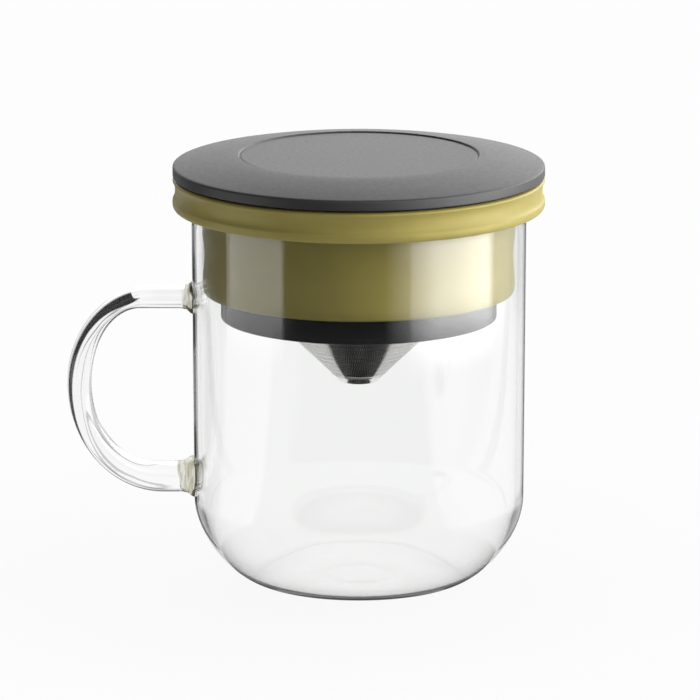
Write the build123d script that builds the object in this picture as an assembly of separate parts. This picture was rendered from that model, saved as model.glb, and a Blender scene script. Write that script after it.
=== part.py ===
from build123d import *
import math
import os

# Lidded glass tea mug with a lift-out cone filter. Millimetres, +Z up.
# The origin is the middle of the flat base; the handle points along -X.
# Parts stack in this order: glass tumbler, silicone collar on its rim,
# filter housing with the double steel cone in the collar, lid on the collar.

# ---------------------------------------------------------------- tumbler
GLASS_RADIUS = 44.0        # outside of the rim
GLASS_HEIGHT = 102.4       # top of the rim
GLASS_WALL = 2.0
GLASS_TAPER = 0.4          # the wall is this much slimmer where the corner starts
BASE_THICKNESS = 3.2
BASE_FLAT_RADIUS = 27.0    # flat that the mug stands on
CORNER_HEIGHT = 22.0       # where the wall turns into the rounded base corner
CORNER_DROP = 0.52         # share of the corner height that the wall keeps its line
CORNER_SPREAD = 0.30       # share of the corner width that the flat keeps its line
RIM_ROUNDING = 0.8         # fire-polished rim, inside and outside

# ----------------------------------------------------------------- handle
HANDLE_TOP_Z = 78.2        # upper edge of the top leg
HANDLE_BOTTOM_Z = 22.9     # lower edge of the bottom leg
HANDLE_WAIST_Z = 52.2      # height of the outermost point
HANDLE_REACH = 32.9        # how far it stands out from the rim's radius
HANDLE_WIDTH = 9.0
HANDLE_TOP_LEG = 5.4       # thickness of the strap, top, side and bottom
HANDLE_SIDE = 6.4
HANDLE_BOTTOM_LEG = 7.5
HANDLE_ROUNDING = 2.2      # rounded edges along the strap
TOP_LEG_STRAIGHT = 10.5    # straight length of each leg before the bow
BOTTOM_LEG_STRAIGHT = 7.5
BOW_SHIFT = 2.7            # the inside of the bow starts this much further out
PAD_FLARE = 1.6            # the fused pads are this much larger all round
PAD_LENGTH = 4.0

# ----------------------------------------------------------------- collar
RIM_CLEARANCE = 0.3        # collar to glass, each side of the rim
GROOVE_DEPTH = 2.8         # the rim stands this deep in the collar's groove
BAND_HEIGHT = 8.1
BAND_OVERHANG = 4.8        # the band stands out over the glass by this
BAND_WAIST = 0.6           # depth of the hollow round the band
BAND_EDGE = 0.8            # rounding of the band's upper and lower lips
BAND_BELLY = 2.3           # height of the swell above the lower lip
BAND_SWELL = 0.2
SKIRT_DEPTH = 22.1         # below the band, inside the glass
SKIRT_WAIST = 1.2          # the skirt narrows by this below the band
SKIRT_BELLY = 0.5          # and comes out again by this above its hem
SKIRT_HEM = 3.0            # rounded lower corner of the skirt
NECK = 2.1                 # silicone between the rim groove and the mouth
LEDGE_WIDTH = 1.6          # ledge that the filter housing's flange rests on
MOUTH_DEPTH = 5.4
HEM_LIP = 3.0              # height of the inward lip that guides the housing

# --------------------------------------------------------- filter housing
HOUSING_GAP = 1.7          # air between the housing and the collar's skirt
HOUSING_WALL = 1.8
HOUSING_DROP = 6.9         # stands out below the collar by this
FLANGE_THICKNESS = 1.8
FLANGE_CLEARANCE = 0.3     # flange to the collar's mouth
SLIDE_CLEARANCE = 0.3      # housing to the collar's lip
SHELF_WIDTH = 1.5          # shelf inside the housing that carries the cone
SHELF_THICKNESS = 1.6
SHELF_ABOVE_HEM = 2.9      # shelf's top above the collar's hem
HOUSING_ROUNDING = 0.4     # edges of the flange and of the tube's lower end

# ------------------------------------------------------------ steel cones
CONE_HALF_ANGLE = 46.0
SHEET = 0.4                # steel sheet, each cone
CONE_GAP = 0.2             # between the perforated cone and the mesh cone
SHELF_CLEARANCE = 0.3      # cone to the shelf's edge
TIP_RADIUS = 5.5           # outside of the outer cone where it is cut off
HOOP_HEIGHT = 1.0
HOOP_CLEARANCE = 0.2       # hoop and clamp to the housing's wall
CLAMP_HEIGHT = 3.0
CLAMP_WIDTH = 1.7
SLOT_ROWS = 4
SLOT_LENGTH = 6.0
SLOT_WIDTH = 1.4
SLOT_PITCH = 4.2           # round the cone
SLOT_MARGIN = 1.6          # plain sheet at the hoop and at the cap

# ---------------------------------------------------------------- tip cap
CAP_WALL = 0.35
CAP_FLOOR = 1.4
CAP_LIP_HEIGHT = 1.2       # above the cone's cut end
CAP_CLEARANCE = 0.05
CAP_ROUNDING = 1.6
CAP_TAPER = 1.9            # the cap narrows by this down to its floor

# -------------------------------------------------------------------- lid
LID_EDGE_HEIGHT = 2.7      # upright edge below the rounding
LID_HEIGHT = 5.9           # collar's top to the crown
LID_SHOULDER = 0.7         # how far in the rounded edge turns over
LID_SHOULDER_RISE = 0.6    # and how high
DOME_SLOPE = 0.22          # rise of the dome for each mm in from the shoulder
CROWN_FALL = 1.0           # drop of the dome halfway out to the shoulder
RECESS_RADIUS = 31.3       # round recess in the middle of the crown
RECESS_DEPTH = 0.7
RECESS_CHAMFER = 0.5
LID_WALL = 2.2
POCKET_DEPTH = 1.6         # step under the lid that holds the liner's flange
POCKET_CLEARANCE = 0.2
SEAT_WIDTH = 3.1           # liner flange beyond the collar's mouth
LINER_DROP = 3.3           # plug below the collar's top
LINER_WALL = 1.8
LINER_CLEARANCE = 0.9      # plug to the collar's mouth
SEAL_HEIGHT = 1.4
SEAL_DEPTH = 1.0           # groove in the plug
SEAL_CLEARANCE = 0.3       # seal to the collar's mouth
SEAL_OFFSET = 0.9          # groove above the plug's floor

# ------------------------------------------------------- places worked out
GLASS_BORE = GLASS_RADIUS - GLASS_WALL
COLLAR_UNDER = GLASS_HEIGHT - GROOVE_DEPTH
COLLAR_TOP = COLLAR_UNDER + BAND_HEIGHT
COLLAR_RADIUS = GLASS_RADIUS + BAND_OVERHANG
COLLAR_BOTTOM = COLLAR_UNDER - SKIRT_DEPTH
SKIRT_RADIUS = GLASS_BORE - RIM_CLEARANCE
MOUTH_RADIUS = SKIRT_RADIUS - NECK
LEDGE_Z = COLLAR_TOP - MOUTH_DEPTH
SKIRT_BORE = MOUTH_RADIUS - LEDGE_WIDTH
HOUSING_RADIUS = SKIRT_BORE - HOUSING_GAP
HOUSING_BOTTOM = COLLAR_BOTTOM - HOUSING_DROP
HOUSING_BORE = HOUSING_RADIUS - HOUSING_WALL
SHELF_RADIUS = HOUSING_BORE - SHELF_WIDTH
CONE_SLOPE = math.tan(math.radians(CONE_HALF_ANGLE))
CONE_TOP_RADIUS = SHELF_RADIUS - SHELF_CLEARANCE
CONE_RISE = (CONE_TOP_RADIUS - TIP_RADIUS) / CONE_SLOPE
SHELF_Z = COLLAR_BOTTOM + SHELF_ABOVE_HEM
CONE_TIP_Z = SHELF_Z - CONE_RISE
SHEET_ACROSS = SHEET / math.cos(math.radians(CONE_HALF_ANGLE))
GAP_ACROSS = CONE_GAP / math.cos(math.radians(CONE_HALF_ANGLE))
LINER_RADIUS = MOUTH_RADIUS - LINER_CLEARANCE
CROWN_Z = COLLAR_TOP + LID_HEIGHT


def turned(points):
    """A solid of revolution from a closed outline of (radius, height) points."""
    outline = Polyline(*[(r, 0, z) for r, z in points], close=True)
    return revolve(make_face(outline), Axis.Z, 360)


def tumbler_outline(radius, corner_radius, flat_radius, floor, top, corner_height):
    """Half section of the tumbler's outside or inside, closed on the axis."""
    corner_width = corner_radius - flat_radius
    corner_top = floor + corner_height
    wall = Line((radius, 0, top), (corner_radius, 0, corner_top))
    corner = Bezier(
        (corner_radius, 0, corner_top),
        (corner_radius, 0, corner_top - corner_height * CORNER_DROP),
        (flat_radius + corner_width * CORNER_SPREAD, 0, floor),
        (flat_radius, 0, floor),
    )
    floor_line = Line((flat_radius, 0, floor), (0, 0, floor))
    axis_line = Line((0, 0, floor), (0, 0, top))
    top_line = Line((0, 0, top), (radius, 0, top))
    return make_face([wall, corner, floor_line, axis_line, top_line])


def tumbler_outside():
    """The tumbler as a solid block, also used to trim the handle's pads."""
    corner_radius = GLASS_RADIUS - GLASS_TAPER
    face = tumbler_outline(
        GLASS_RADIUS, corner_radius, BASE_FLAT_RADIUS, 0, GLASS_HEIGHT, CORNER_HEIGHT
    )
    return revolve(face, Axis.Z, 360)


def glass_body():
    """Blown tumbler: slim tapered wall, soft corner, thicker base, rounded rim."""
    corner_radius = GLASS_RADIUS - GLASS_TAPER - GLASS_WALL
    inside = tumbler_outline(
        GLASS_BORE,
        corner_radius,
        BASE_FLAT_RADIUS - GLASS_WALL,
        BASE_THICKNESS,
        GLASS_HEIGHT,
        CORNER_HEIGHT - GLASS_WALL,
    )
    body = tumbler_outside() - revolve(inside, Axis.Z, 360)
    rim_edges = body.edges().group_by(Axis.Z)[-1]
    return fillet(rim_edges, RIM_ROUNDING)


def bow(start_top, start_bottom, outermost, z_top, z_bottom, root):
    """One side of the handle's C, from the top foot round to the bottom foot."""
    quarter = 4 / 3 * (math.sqrt(2) - 1)    # Bezier share that draws a quarter ellipse
    reach_top = outermost - start_top
    reach_bottom = outermost - start_bottom
    rise = z_top - HANDLE_WAIST_Z
    fall = HANDLE_WAIST_Z - z_bottom
    return [
        Line((root, 0, z_top), (start_top, 0, z_top)),
        Bezier(
            (start_top, 0, z_top),
            (start_top + quarter * reach_top, 0, z_top),
            (outermost, 0, HANDLE_WAIST_Z + quarter * rise),
            (outermost, 0, HANDLE_WAIST_Z),
        ),
        Bezier(
            (outermost, 0, HANDLE_WAIST_Z),
            (outermost, 0, HANDLE_WAIST_Z - quarter * fall),
            (start_bottom + quarter * reach_bottom, 0, z_bottom),
            (start_bottom, 0, z_bottom),
        ),
        Line((start_bottom, 0, z_bottom), (root, 0, z_bottom)),
    ]


def handle_pad(z_low, z_high):
    """Flared glass pad that fuses one leg to the wall."""
    height = z_high - z_low
    middle = (z_low + z_high) / 2
    root = -(GLASS_RADIUS - 2 * GLASS_WALL)
    outer = -(GLASS_RADIUS + PAD_LENGTH)

    def section(x, grow):
        plane = Plane(origin=(x, 0, middle), x_dir=(0, 1, 0), z_dir=(1, 0, 0))
        width = HANDLE_WIDTH + 2 * grow
        return plane * RectangleRounded(width, height + 2 * grow, HANDLE_ROUNDING + grow)

    sections = [section(outer, 0), section(outer + PAD_LENGTH / 2, PAD_FLARE / 3)]
    sections += [section(-GLASS_RADIUS, PAD_FLARE), section(root, PAD_FLARE)]
    return loft(sections, ruled=True)


def glass_handle():
    """Open C strap with rounded edges and a flared pad at each end."""
    root = -(GLASS_RADIUS - GLASS_WALL)
    outermost = -(GLASS_RADIUS + HANDLE_REACH)
    start_top = -(GLASS_RADIUS + TOP_LEG_STRAIGHT)
    start_bottom = -(GLASS_RADIUS + BOTTOM_LEG_STRAIGHT)
    outer = bow(start_top, start_bottom, outermost, HANDLE_TOP_Z, HANDLE_BOTTOM_Z, root)
    inner = bow(
        start_top - BOW_SHIFT,
        start_bottom - BOW_SHIFT,
        outermost + HANDLE_SIDE,
        HANDLE_TOP_Z - HANDLE_TOP_LEG,
        HANDLE_BOTTOM_Z + HANDLE_BOTTOM_LEG,
        root,
    )
    ends = [
        Line((root, 0, HANDLE_TOP_Z), (root, 0, HANDLE_TOP_Z - HANDLE_TOP_LEG)),
        Line((root, 0, HANDLE_BOTTOM_Z), (root, 0, HANDLE_BOTTOM_Z + HANDLE_BOTTOM_LEG)),
    ]
    strap = extrude(make_face(outer + inner + ends), HANDLE_WIDTH / 2, both=True)
    side_faces = strap.faces().sort_by(Axis.Y)
    rails = [e for face in (side_faces[0], side_faces[-1]) for e in face.edges()
             if e.center().X < root - GLASS_WALL]
    strap = fillet(rails, HANDLE_ROUNDING)
    pads = handle_pad(HANDLE_TOP_Z - HANDLE_TOP_LEG, HANDLE_TOP_Z)
    pads += handle_pad(HANDLE_BOTTOM_Z, HANDLE_BOTTOM_Z + HANDLE_BOTTOM_LEG)
    return strap + pads - tumbler_outside()


def collar():
    """Silicone collar: waisted band over the rim, groove for the rim, deep skirt."""
    groove_outer = GLASS_RADIUS + RIM_CLEARANCE
    lip_inner = COLLAR_RADIUS - 2 * BAND_EDGE
    lip_z = COLLAR_TOP - BAND_EDGE
    belly_z = COLLAR_UNDER + BAND_BELLY
    hem_radius = SKIRT_RADIUS - SKIRT_WAIST + SKIRT_BELLY
    waist_z = COLLAR_UNDER - SKIRT_DEPTH / 2
    outline = [
        Line((MOUTH_RADIUS, 0, COLLAR_TOP), (lip_inner, 0, COLLAR_TOP)),
        Bezier((lip_inner, 0, COLLAR_TOP), (COLLAR_RADIUS, 0, COLLAR_TOP), (COLLAR_RADIUS, 0, lip_z)),
        ThreePointArc(
            (COLLAR_RADIUS, 0, lip_z),
            (COLLAR_RADIUS - BAND_WAIST, 0, (lip_z + belly_z) / 2),
            (COLLAR_RADIUS, 0, belly_z),
        ),
        Bezier(
            (COLLAR_RADIUS, 0, belly_z),
            (COLLAR_RADIUS + BAND_SWELL, 0, belly_z - BAND_BELLY / 2),
            (COLLAR_RADIUS, 0, COLLAR_UNDER),
            (COLLAR_RADIUS - BAND_EDGE, 0, COLLAR_UNDER),
        ),
        Line((COLLAR_RADIUS - BAND_EDGE, 0, COLLAR_UNDER), (groove_outer, 0, COLLAR_UNDER)),
        Line((groove_outer, 0, COLLAR_UNDER), (groove_outer, 0, GLASS_HEIGHT)),
        Line((groove_outer, 0, GLASS_HEIGHT), (SKIRT_RADIUS, 0, GLASS_HEIGHT)),
        Line((SKIRT_RADIUS, 0, GLASS_HEIGHT), (SKIRT_RADIUS, 0, COLLAR_UNDER)),
        Spline(
            (SKIRT_RADIUS, 0, COLLAR_UNDER),
            (SKIRT_RADIUS - SKIRT_WAIST, 0, waist_z),
            (hem_radius, 0, COLLAR_BOTTOM + SKIRT_HEM),
            tangents=[(0, 0, -1), (0, 0, -1)],
        ),
        Bezier(
            (hem_radius, 0, COLLAR_BOTTOM + SKIRT_HEM),
            (hem_radius, 0, COLLAR_BOTTOM + SKIRT_HEM / 3),
            (hem_radius - SKIRT_HEM / 6, 0, COLLAR_BOTTOM),
            (hem_radius - SKIRT_HEM / 2, 0, COLLAR_BOTTOM),
        ),
    ]
    guide = HOUSING_RADIUS + SLIDE_CLEARANCE
    inside = [
        (hem_radius - SKIRT_HEM / 2, COLLAR_BOTTOM),
        (guide, COLLAR_BOTTOM),
        (guide, COLLAR_BOTTOM + HEM_LIP),
        (SKIRT_BORE, COLLAR_BOTTOM + HEM_LIP + (SKIRT_BORE - guide)),
        (SKIRT_BORE, LEDGE_Z),
        (MOUTH_RADIUS, LEDGE_Z),
        (MOUTH_RADIUS, COLLAR_TOP),
    ]
    outline.append(Polyline(*[(r, 0, z) for r, z in inside]))
    return revolve(make_face(outline), Axis.Z, 360)


def filter_housing():
    """Dark tube with a flange on the collar's ledge and a shelf for the cone."""
    flange_radius = MOUTH_RADIUS - FLANGE_CLEARANCE
    flange_top = LEDGE_Z + FLANGE_THICKNESS
    body = turned([
        (HOUSING_RADIUS, HOUSING_BOTTOM),
        (HOUSING_RADIUS, LEDGE_Z),
        (flange_radius, LEDGE_Z),
        (flange_radius, flange_top),
        (HOUSING_BORE, flange_top),
        (HOUSING_BORE, SHELF_Z),
        (SHELF_RADIUS, SHELF_Z),
        (SHELF_RADIUS, SHELF_Z - SHELF_THICKNESS),
        (HOUSING_BORE, SHELF_Z - SHELF_THICKNESS - SHELF_WIDTH),
        (HOUSING_BORE, HOUSING_BOTTOM),
    ])
    body = fillet(body.edges().group_by(Axis.Z)[-1], HOUSING_ROUNDING)
    return fillet(body.edges().group_by(Axis.Z)[0], HOUSING_ROUNDING)


def cone_shell(inset):
    """Thin steel cone, its outside this far inside the filter's outer cone."""
    top = CONE_TOP_RADIUS - inset
    tip = TIP_RADIUS - inset
    return turned([
        (tip, CONE_TIP_Z),
        (top, SHELF_Z),
        (top - SHEET_ACROSS, SHELF_Z),
        (tip - SHEET_ACROSS, CONE_TIP_Z),
    ])


def outer_cone():
    """Perforated steel cone: staggered rows of slots that run down its slope."""
    shell = cone_shell(0)
    slant = (CONE_TOP_RADIUS - TIP_RADIUS) / math.sin(math.radians(CONE_HALF_ANGLE))
    first = SLOT_MARGIN + CAP_LIP_HEIGHT / math.cos(math.radians(CONE_HALF_ANGLE))
    row_pitch = (slant - first - SLOT_MARGIN - SLOT_LENGTH) / (SLOT_ROWS - 1)
    cutters = []
    for row in range(SLOT_ROWS):
        along = first + SLOT_LENGTH / 2 + row * row_pitch
        radius = TIP_RADIUS + along * math.sin(math.radians(CONE_HALF_ANGLE))
        height = CONE_TIP_Z + along * math.cos(math.radians(CONE_HALF_ANGLE))
        count = int(2 * math.pi * radius / SLOT_PITCH)
        stagger = 180 / count if row % 2 else 0
        slot = Box(SLOT_LENGTH, SLOT_WIDTH, 4 * SHEET)
        slot = Pos(radius, 0, height) * Rot(0, CONE_HALF_ANGLE - 90, 0) * slot
        cutters += [Rot(0, 0, stagger + i * 360 / count) * slot for i in range(count)]
    return shell - cutters


def mesh_cone():
    """Fine mesh cone that lines the perforated one, as a plain thin shell."""
    return cone_shell(SHEET_ACROSS + GAP_ACROSS)


def cone_hoop():
    """Steel hoop that closes the tops of both cones and rests on the shelf."""
    inner = CONE_TOP_RADIUS - 2 * SHEET_ACROSS - GAP_ACROSS
    return turned([
        (inner, SHELF_Z),
        (HOUSING_BORE - HOOP_CLEARANCE, SHELF_Z),
        (HOUSING_BORE - HOOP_CLEARANCE, SHELF_Z + HOOP_HEIGHT),
        (inner, SHELF_Z + HOOP_HEIGHT),
    ])


def cone_clamp():
    """Ring snapped into the housing above the hoop; it keeps the cone down."""
    outer = HOUSING_BORE - HOOP_CLEARANCE
    bottom = SHELF_Z + HOOP_HEIGHT
    return turned([
        (outer - CLAMP_WIDTH, bottom),
        (outer, bottom),
        (outer, bottom + CLAMP_HEIGHT),
        (outer - CLAMP_WIDTH / 2, bottom + CLAMP_HEIGHT),
        (outer - CLAMP_WIDTH, bottom + CLAMP_HEIGHT - CLAMP_WIDTH / 2),
    ])


def cone_cap():
    """Polished dish that closes the cones' cut end."""
    lip_z = CONE_TIP_Z + CAP_LIP_HEIGHT
    pocket = TIP_RADIUS + CAP_LIP_HEIGHT * CONE_SLOPE + CAP_CLEARANCE
    lip = pocket + CAP_WALL
    floor_z = CONE_TIP_Z - CAP_FLOOR
    body = turned([
        (0, floor_z),
        (lip - CAP_TAPER, floor_z),
        (lip, lip_z),
        (pocket, lip_z),
        (TIP_RADIUS + CAP_CLEARANCE, CONE_TIP_Z),
        (0, CONE_TIP_Z),
    ])
    return fillet(body.edges().group_by(Axis.Z)[0], CAP_ROUNDING)


def lid_cover():
    """Domed lid with a rounded edge, a round recess and a pocket underneath."""
    edge_top = (COLLAR_RADIUS, 0, COLLAR_TOP + LID_EDGE_HEIGHT)
    shoulder = (COLLAR_RADIUS - LID_SHOULDER, 0, edge_top[2] + LID_SHOULDER_RISE)
    corner = (COLLAR_RADIUS, 0, shoulder[2] - DOME_SLOPE * LID_SHOULDER)
    recess_rim = (RECESS_RADIUS + RECESS_CHAMFER, 0, CROWN_Z)
    recess_z = CROWN_Z - RECESS_DEPTH
    halfway = ((shoulder[0] + recess_rim[0]) / 2, 0, CROWN_Z - CROWN_FALL)
    pocket_radius = MOUTH_RADIUS + SEAT_WIDTH + POCKET_CLEARANCE
    pocket_z = COLLAR_TOP + POCKET_DEPTH
    ceiling = recess_z - LID_WALL
    outline = [
        Line((COLLAR_RADIUS, 0, COLLAR_TOP), edge_top),
        Bezier(edge_top, corner, shoulder),
        Spline(shoulder, halfway, recess_rim, tangents=[(-1, 0, DOME_SLOPE), (-1, 0, 0.05)]),
        Polyline(
            recess_rim,
            (RECESS_RADIUS, 0, recess_z),
            (0, 0, recess_z),
            (0, 0, ceiling),
            (LINER_RADIUS - 2 * LINER_WALL, 0, ceiling),
            (LINER_RADIUS - LINER_WALL / 2, 0, pocket_z),
            (pocket_radius, 0, pocket_z),
            (pocket_radius, 0, COLLAR_TOP),
            (COLLAR_RADIUS, 0, COLLAR_TOP),
        ),
    ]
    return revolve(make_face(outline), Axis.Z, 360)


def lid_liner():
    """Plug under the lid: flange in the lid's pocket, wall with a seal groove."""
    flange = MOUTH_RADIUS + SEAT_WIDTH
    floor_z = COLLAR_TOP - LINER_DROP
    groove_z = floor_z + SEAL_OFFSET
    bore = LINER_RADIUS - LINER_WALL
    return turned([
        (0, floor_z),
        (LINER_RADIUS, floor_z),
        (LINER_RADIUS, groove_z),
        (LINER_RADIUS - SEAL_DEPTH, groove_z),
        (LINER_RADIUS - SEAL_DEPTH, groove_z + SEAL_HEIGHT),
        (LINER_RADIUS, groove_z + SEAL_HEIGHT),
        (LINER_RADIUS, COLLAR_TOP),
        (flange, COLLAR_TOP),
        (flange, COLLAR_TOP + POCKET_DEPTH),
        (bore, COLLAR_TOP + POCKET_DEPTH),
        (bore, floor_z + LINER_WALL),
        (0, floor_z + LINER_WALL),
    ])


def lid_seal():
    """Silicone ring in the plug's groove, with a pointed lip to the mouth."""
    bottom = COLLAR_TOP - LINER_DROP + SEAL_OFFSET
    inner = LINER_RADIUS - SEAL_DEPTH
    lip = MOUTH_RADIUS - SEAL_CLEARANCE
    return turned([
        (inner, bottom),
        (LINER_RADIUS, bottom),
        (lip, bottom + SEAL_HEIGHT / 2),
        (LINER_RADIUS, bottom + SEAL_HEIGHT),
        (inner, bottom + SEAL_HEIGHT),
    ])


PARTS = {
    "glass_body": glass_body,
    "glass_handle": glass_handle,
    "collar": collar,
    "filter_housing": filter_housing,
    "outer_cone": outer_cone,
    "mesh_cone": mesh_cone,
    "cone_hoop": cone_hoop,
    "cone_clamp": cone_clamp,
    "cone_cap": cone_cap,
    "lid_cover": lid_cover,
    "lid_liner": lid_liner,
    "lid_seal": lid_seal,
}

os.makedirs("parts", exist_ok=True)
for name, make in PARTS.items():
    shape = make()
    shape.label = name
    export_step(shape, f"parts/{name}.step")
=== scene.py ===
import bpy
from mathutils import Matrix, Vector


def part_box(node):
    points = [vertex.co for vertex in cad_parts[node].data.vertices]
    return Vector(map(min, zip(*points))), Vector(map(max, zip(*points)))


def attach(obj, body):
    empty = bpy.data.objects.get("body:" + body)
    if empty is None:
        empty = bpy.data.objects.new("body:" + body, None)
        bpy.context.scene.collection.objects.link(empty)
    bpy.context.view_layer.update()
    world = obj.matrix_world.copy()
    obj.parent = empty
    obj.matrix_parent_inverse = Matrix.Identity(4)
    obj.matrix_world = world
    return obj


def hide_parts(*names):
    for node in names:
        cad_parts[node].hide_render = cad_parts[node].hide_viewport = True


bl_info = {
    "name": "Lidded glass drip mug",
    "version": (1, 0, 0),
    "blender": (4, 5, 0),
    "location": "3D View > Sidebar > Drip Mug",
    "description": "Dresses a lidded glass mug with a silicone collar and a steel cone filter",
    "category": "Add Mesh",
}

import math
from collections import namedtuple

import bmesh
import bpy
from mathutils import Vector, kdtree

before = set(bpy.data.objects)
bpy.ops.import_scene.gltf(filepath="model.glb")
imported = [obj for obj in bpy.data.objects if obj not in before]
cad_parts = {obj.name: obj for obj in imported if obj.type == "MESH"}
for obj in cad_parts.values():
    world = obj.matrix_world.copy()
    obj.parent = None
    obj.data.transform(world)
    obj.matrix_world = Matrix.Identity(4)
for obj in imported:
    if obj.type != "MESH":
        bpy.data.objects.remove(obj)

MM = 0.001
SIDES = 240                # facets round a turned piece
CORNER_STEPS = 6           # points on a rounded corner
CURVE_STEPS = 24           # points on a long curve
WALL_STEPS = 12            # rows of faces up the tumbler's straight wall
STRAP_SIDES = 64           # facets round the handle's strap
WIRE_SIDES = 72            # corners of a ring of wire
SOFT = 0.4 * MM            # rounding of an edge that hands meet
FINE = 0.15 * MM           # rounding of a crisp edge
TINY = 1e-7                # a radius that counts as none
WELD = 1e-6                # points this close are joined
WHITE = (1, 1, 1, 1)
PIXELS = 700               # width and height of the picture


Reach = namedtuple("Reach", "radius low top")


def reach(node):
    """Outer radius, bottom and top of a round CAD node."""
    low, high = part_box(node)
    return Reach(high.x, low.z, high.z)


# ------------------------------------------------------------------ settings


def length(name, description, default):
    """A length in metres that the panel shows."""
    return bpy.props.FloatProperty(
        name=name, description=description, default=default, unit="LENGTH", precision=5
    )


def share(name, description, default):
    """A factor from 0 to 1."""
    return bpy.props.FloatProperty(
        name=name, description=description, default=default, min=0, max=1, subtype="FACTOR"
    )


def number(name, description, default):
    """A plain number."""
    return bpy.props.FloatProperty(name=name, description=description, default=default)


def colour(name, description, default):
    """A linear colour."""
    return bpy.props.FloatVectorProperty(
        name=name, description=description, default=default, size=3, min=0, max=1, subtype="COLOR"
    )


class GlassSettings(bpy.types.PropertyGroup):
    wall: length("Wall", "Thickness of the tumbler's wall", 1.9 * MM)
    taper: length("Taper", "How much slimmer the tumbler is above its corner", 0.4 * MM)
    floor: length("Base", "Thickness of the base", 1.2 * MM)
    corner_wall: length("Corner Wall", "Thickness of the rounded corner", 1.15 * MM)
    flat: length("Flat", "Radius of the flat that the mug stands on", 27.0 * MM)
    corner: length("Corner", "Height of the rounded base corner", 22.0 * MM)
    corner_drop: share("Corner Drop", "Share of the corner that keeps the wall's line", 0.52)
    corner_spread: share("Corner Spread", "Share of the corner that keeps the flat's line", 0.30)
    rim: length("Rim", "Rounding of the fire-polished rim", 0.8 * MM)
    dimple: length("Dimple", "Height of the ring that blowing left in the floor", 0.04 * MM)
    dimple_radius: length("Dimple Radius", "Radius of that ring", 9.0 * MM)
    width: length("Handle Width", "Width of the handle's strap", 9.0 * MM)
    top_leg: length("Top Leg", "Thickness of the strap's upper leg", 5.4 * MM)
    side: length("Side", "Thickness of the strap at its outermost point", 6.4 * MM)
    bottom_leg: length("Bottom Leg", "Thickness of the strap's lower leg", 7.5 * MM)
    top_straight: length("Top Straight", "Straight length of the upper leg", 10.5 * MM)
    bottom_straight: length("Bottom Straight", "Straight length of the lower leg", 7.5 * MM)
    bow_shift: length("Bow Shift", "How much later the inside of the bow starts", 2.7 * MM)
    waist: length("Waist", "Height of the handle's outermost point", 52.2 * MM)
    pad_flare: length("Pad Flare", "How far the fused pads flare out", 1.7 * MM)
    pad_length: length("Pad Length", "Length of the upper pad's flare", 2.5 * MM)
    low_pad_length: length("Low Pad Length", "Length of the lower pad's flare", 3.6 * MM)
    pad_ridge: length("Pad Ridge", "Height of the ridges in the fused pads", 0.12 * MM)
    squareness: number("Squareness", "2 is an oval strap, more is squarer", 3.6)
    bow_roundness: number("Bow Roundness", "How much rounder the strap is in its upper bow", 1.2)
    dent: length("Dent", "Bulge on the inner wall behind each pad", 0.45 * MM)
    dent_spread: length("Dent Spread", "How far that bulge reaches", 4.0 * MM)
    tint: colour("Tint", "Colour of the clear glass", (0.985, 0.99, 0.985))
    # painted reflection: the near-black colour painted into the strap's glass along its lines
    edge: colour("Edge", "Colour of the dark lines along the strap", (0.002, 0.002, 0.002))
    pad: colour("Pad", "Colour of the fused pads", (0.99, 0.98, 0.95))
    # painted refraction: colour of the lines painted into the pads, which stand in for what their
    # facets bend into view
    pad_painted_refraction: colour("Pad Line", "Colour of the lines in the fused pads", (0.50, 0.48, 0.33))
    pad_cloud: share("Pad Cloud", "How cloudy the fused pads are", 0.2)
    pad_ior: number("Pad IOR", "How much the wrinkled pads bend light", 1.10)
    ior: number("IOR", "Refractive index of borosilicate glass", 1.47)


class CollarSettings(bpy.types.PropertyGroup):
    gap: length("Gap", "Silicone to glass, each side of the rim", 0.3 * MM)
    lip: length("Lip", "Rounding of the band's lips", 0.8 * MM)
    waist: length("Waist", "Depth of the hollow round the band", 0.6 * MM)
    belly: length("Belly", "Height of the swell above the lower lip", 2.3 * MM)
    swell: length("Swell", "How far that swell stands out", 0.2 * MM)
    groove: length("Groove", "Depth of the groove that takes the rim", 2.8 * MM)
    neck: length("Neck", "Silicone between the rim and the mouth", 2.1 * MM)
    ledge: length("Ledge", "Width of the ledge under the housing's flange", 1.6 * MM)
    skirt_waist: length("Skirt Waist", "How far the skirt narrows", 1.2 * MM)
    skirt_belly: length("Skirt Belly", "How far it widens again above its hem", 0.5 * MM)
    hem: length("Hem", "Rounding of the skirt's hem", 3.0 * MM)
    slide: length("Slide", "Clearance round the housing at the hem", 0.3 * MM)
    tint: colour("Tint", "Colour of the silicone", (0.34, 0.285, 0.07))
    roughness: share("Roughness", "Satin of the silicone", 0.40)


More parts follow.
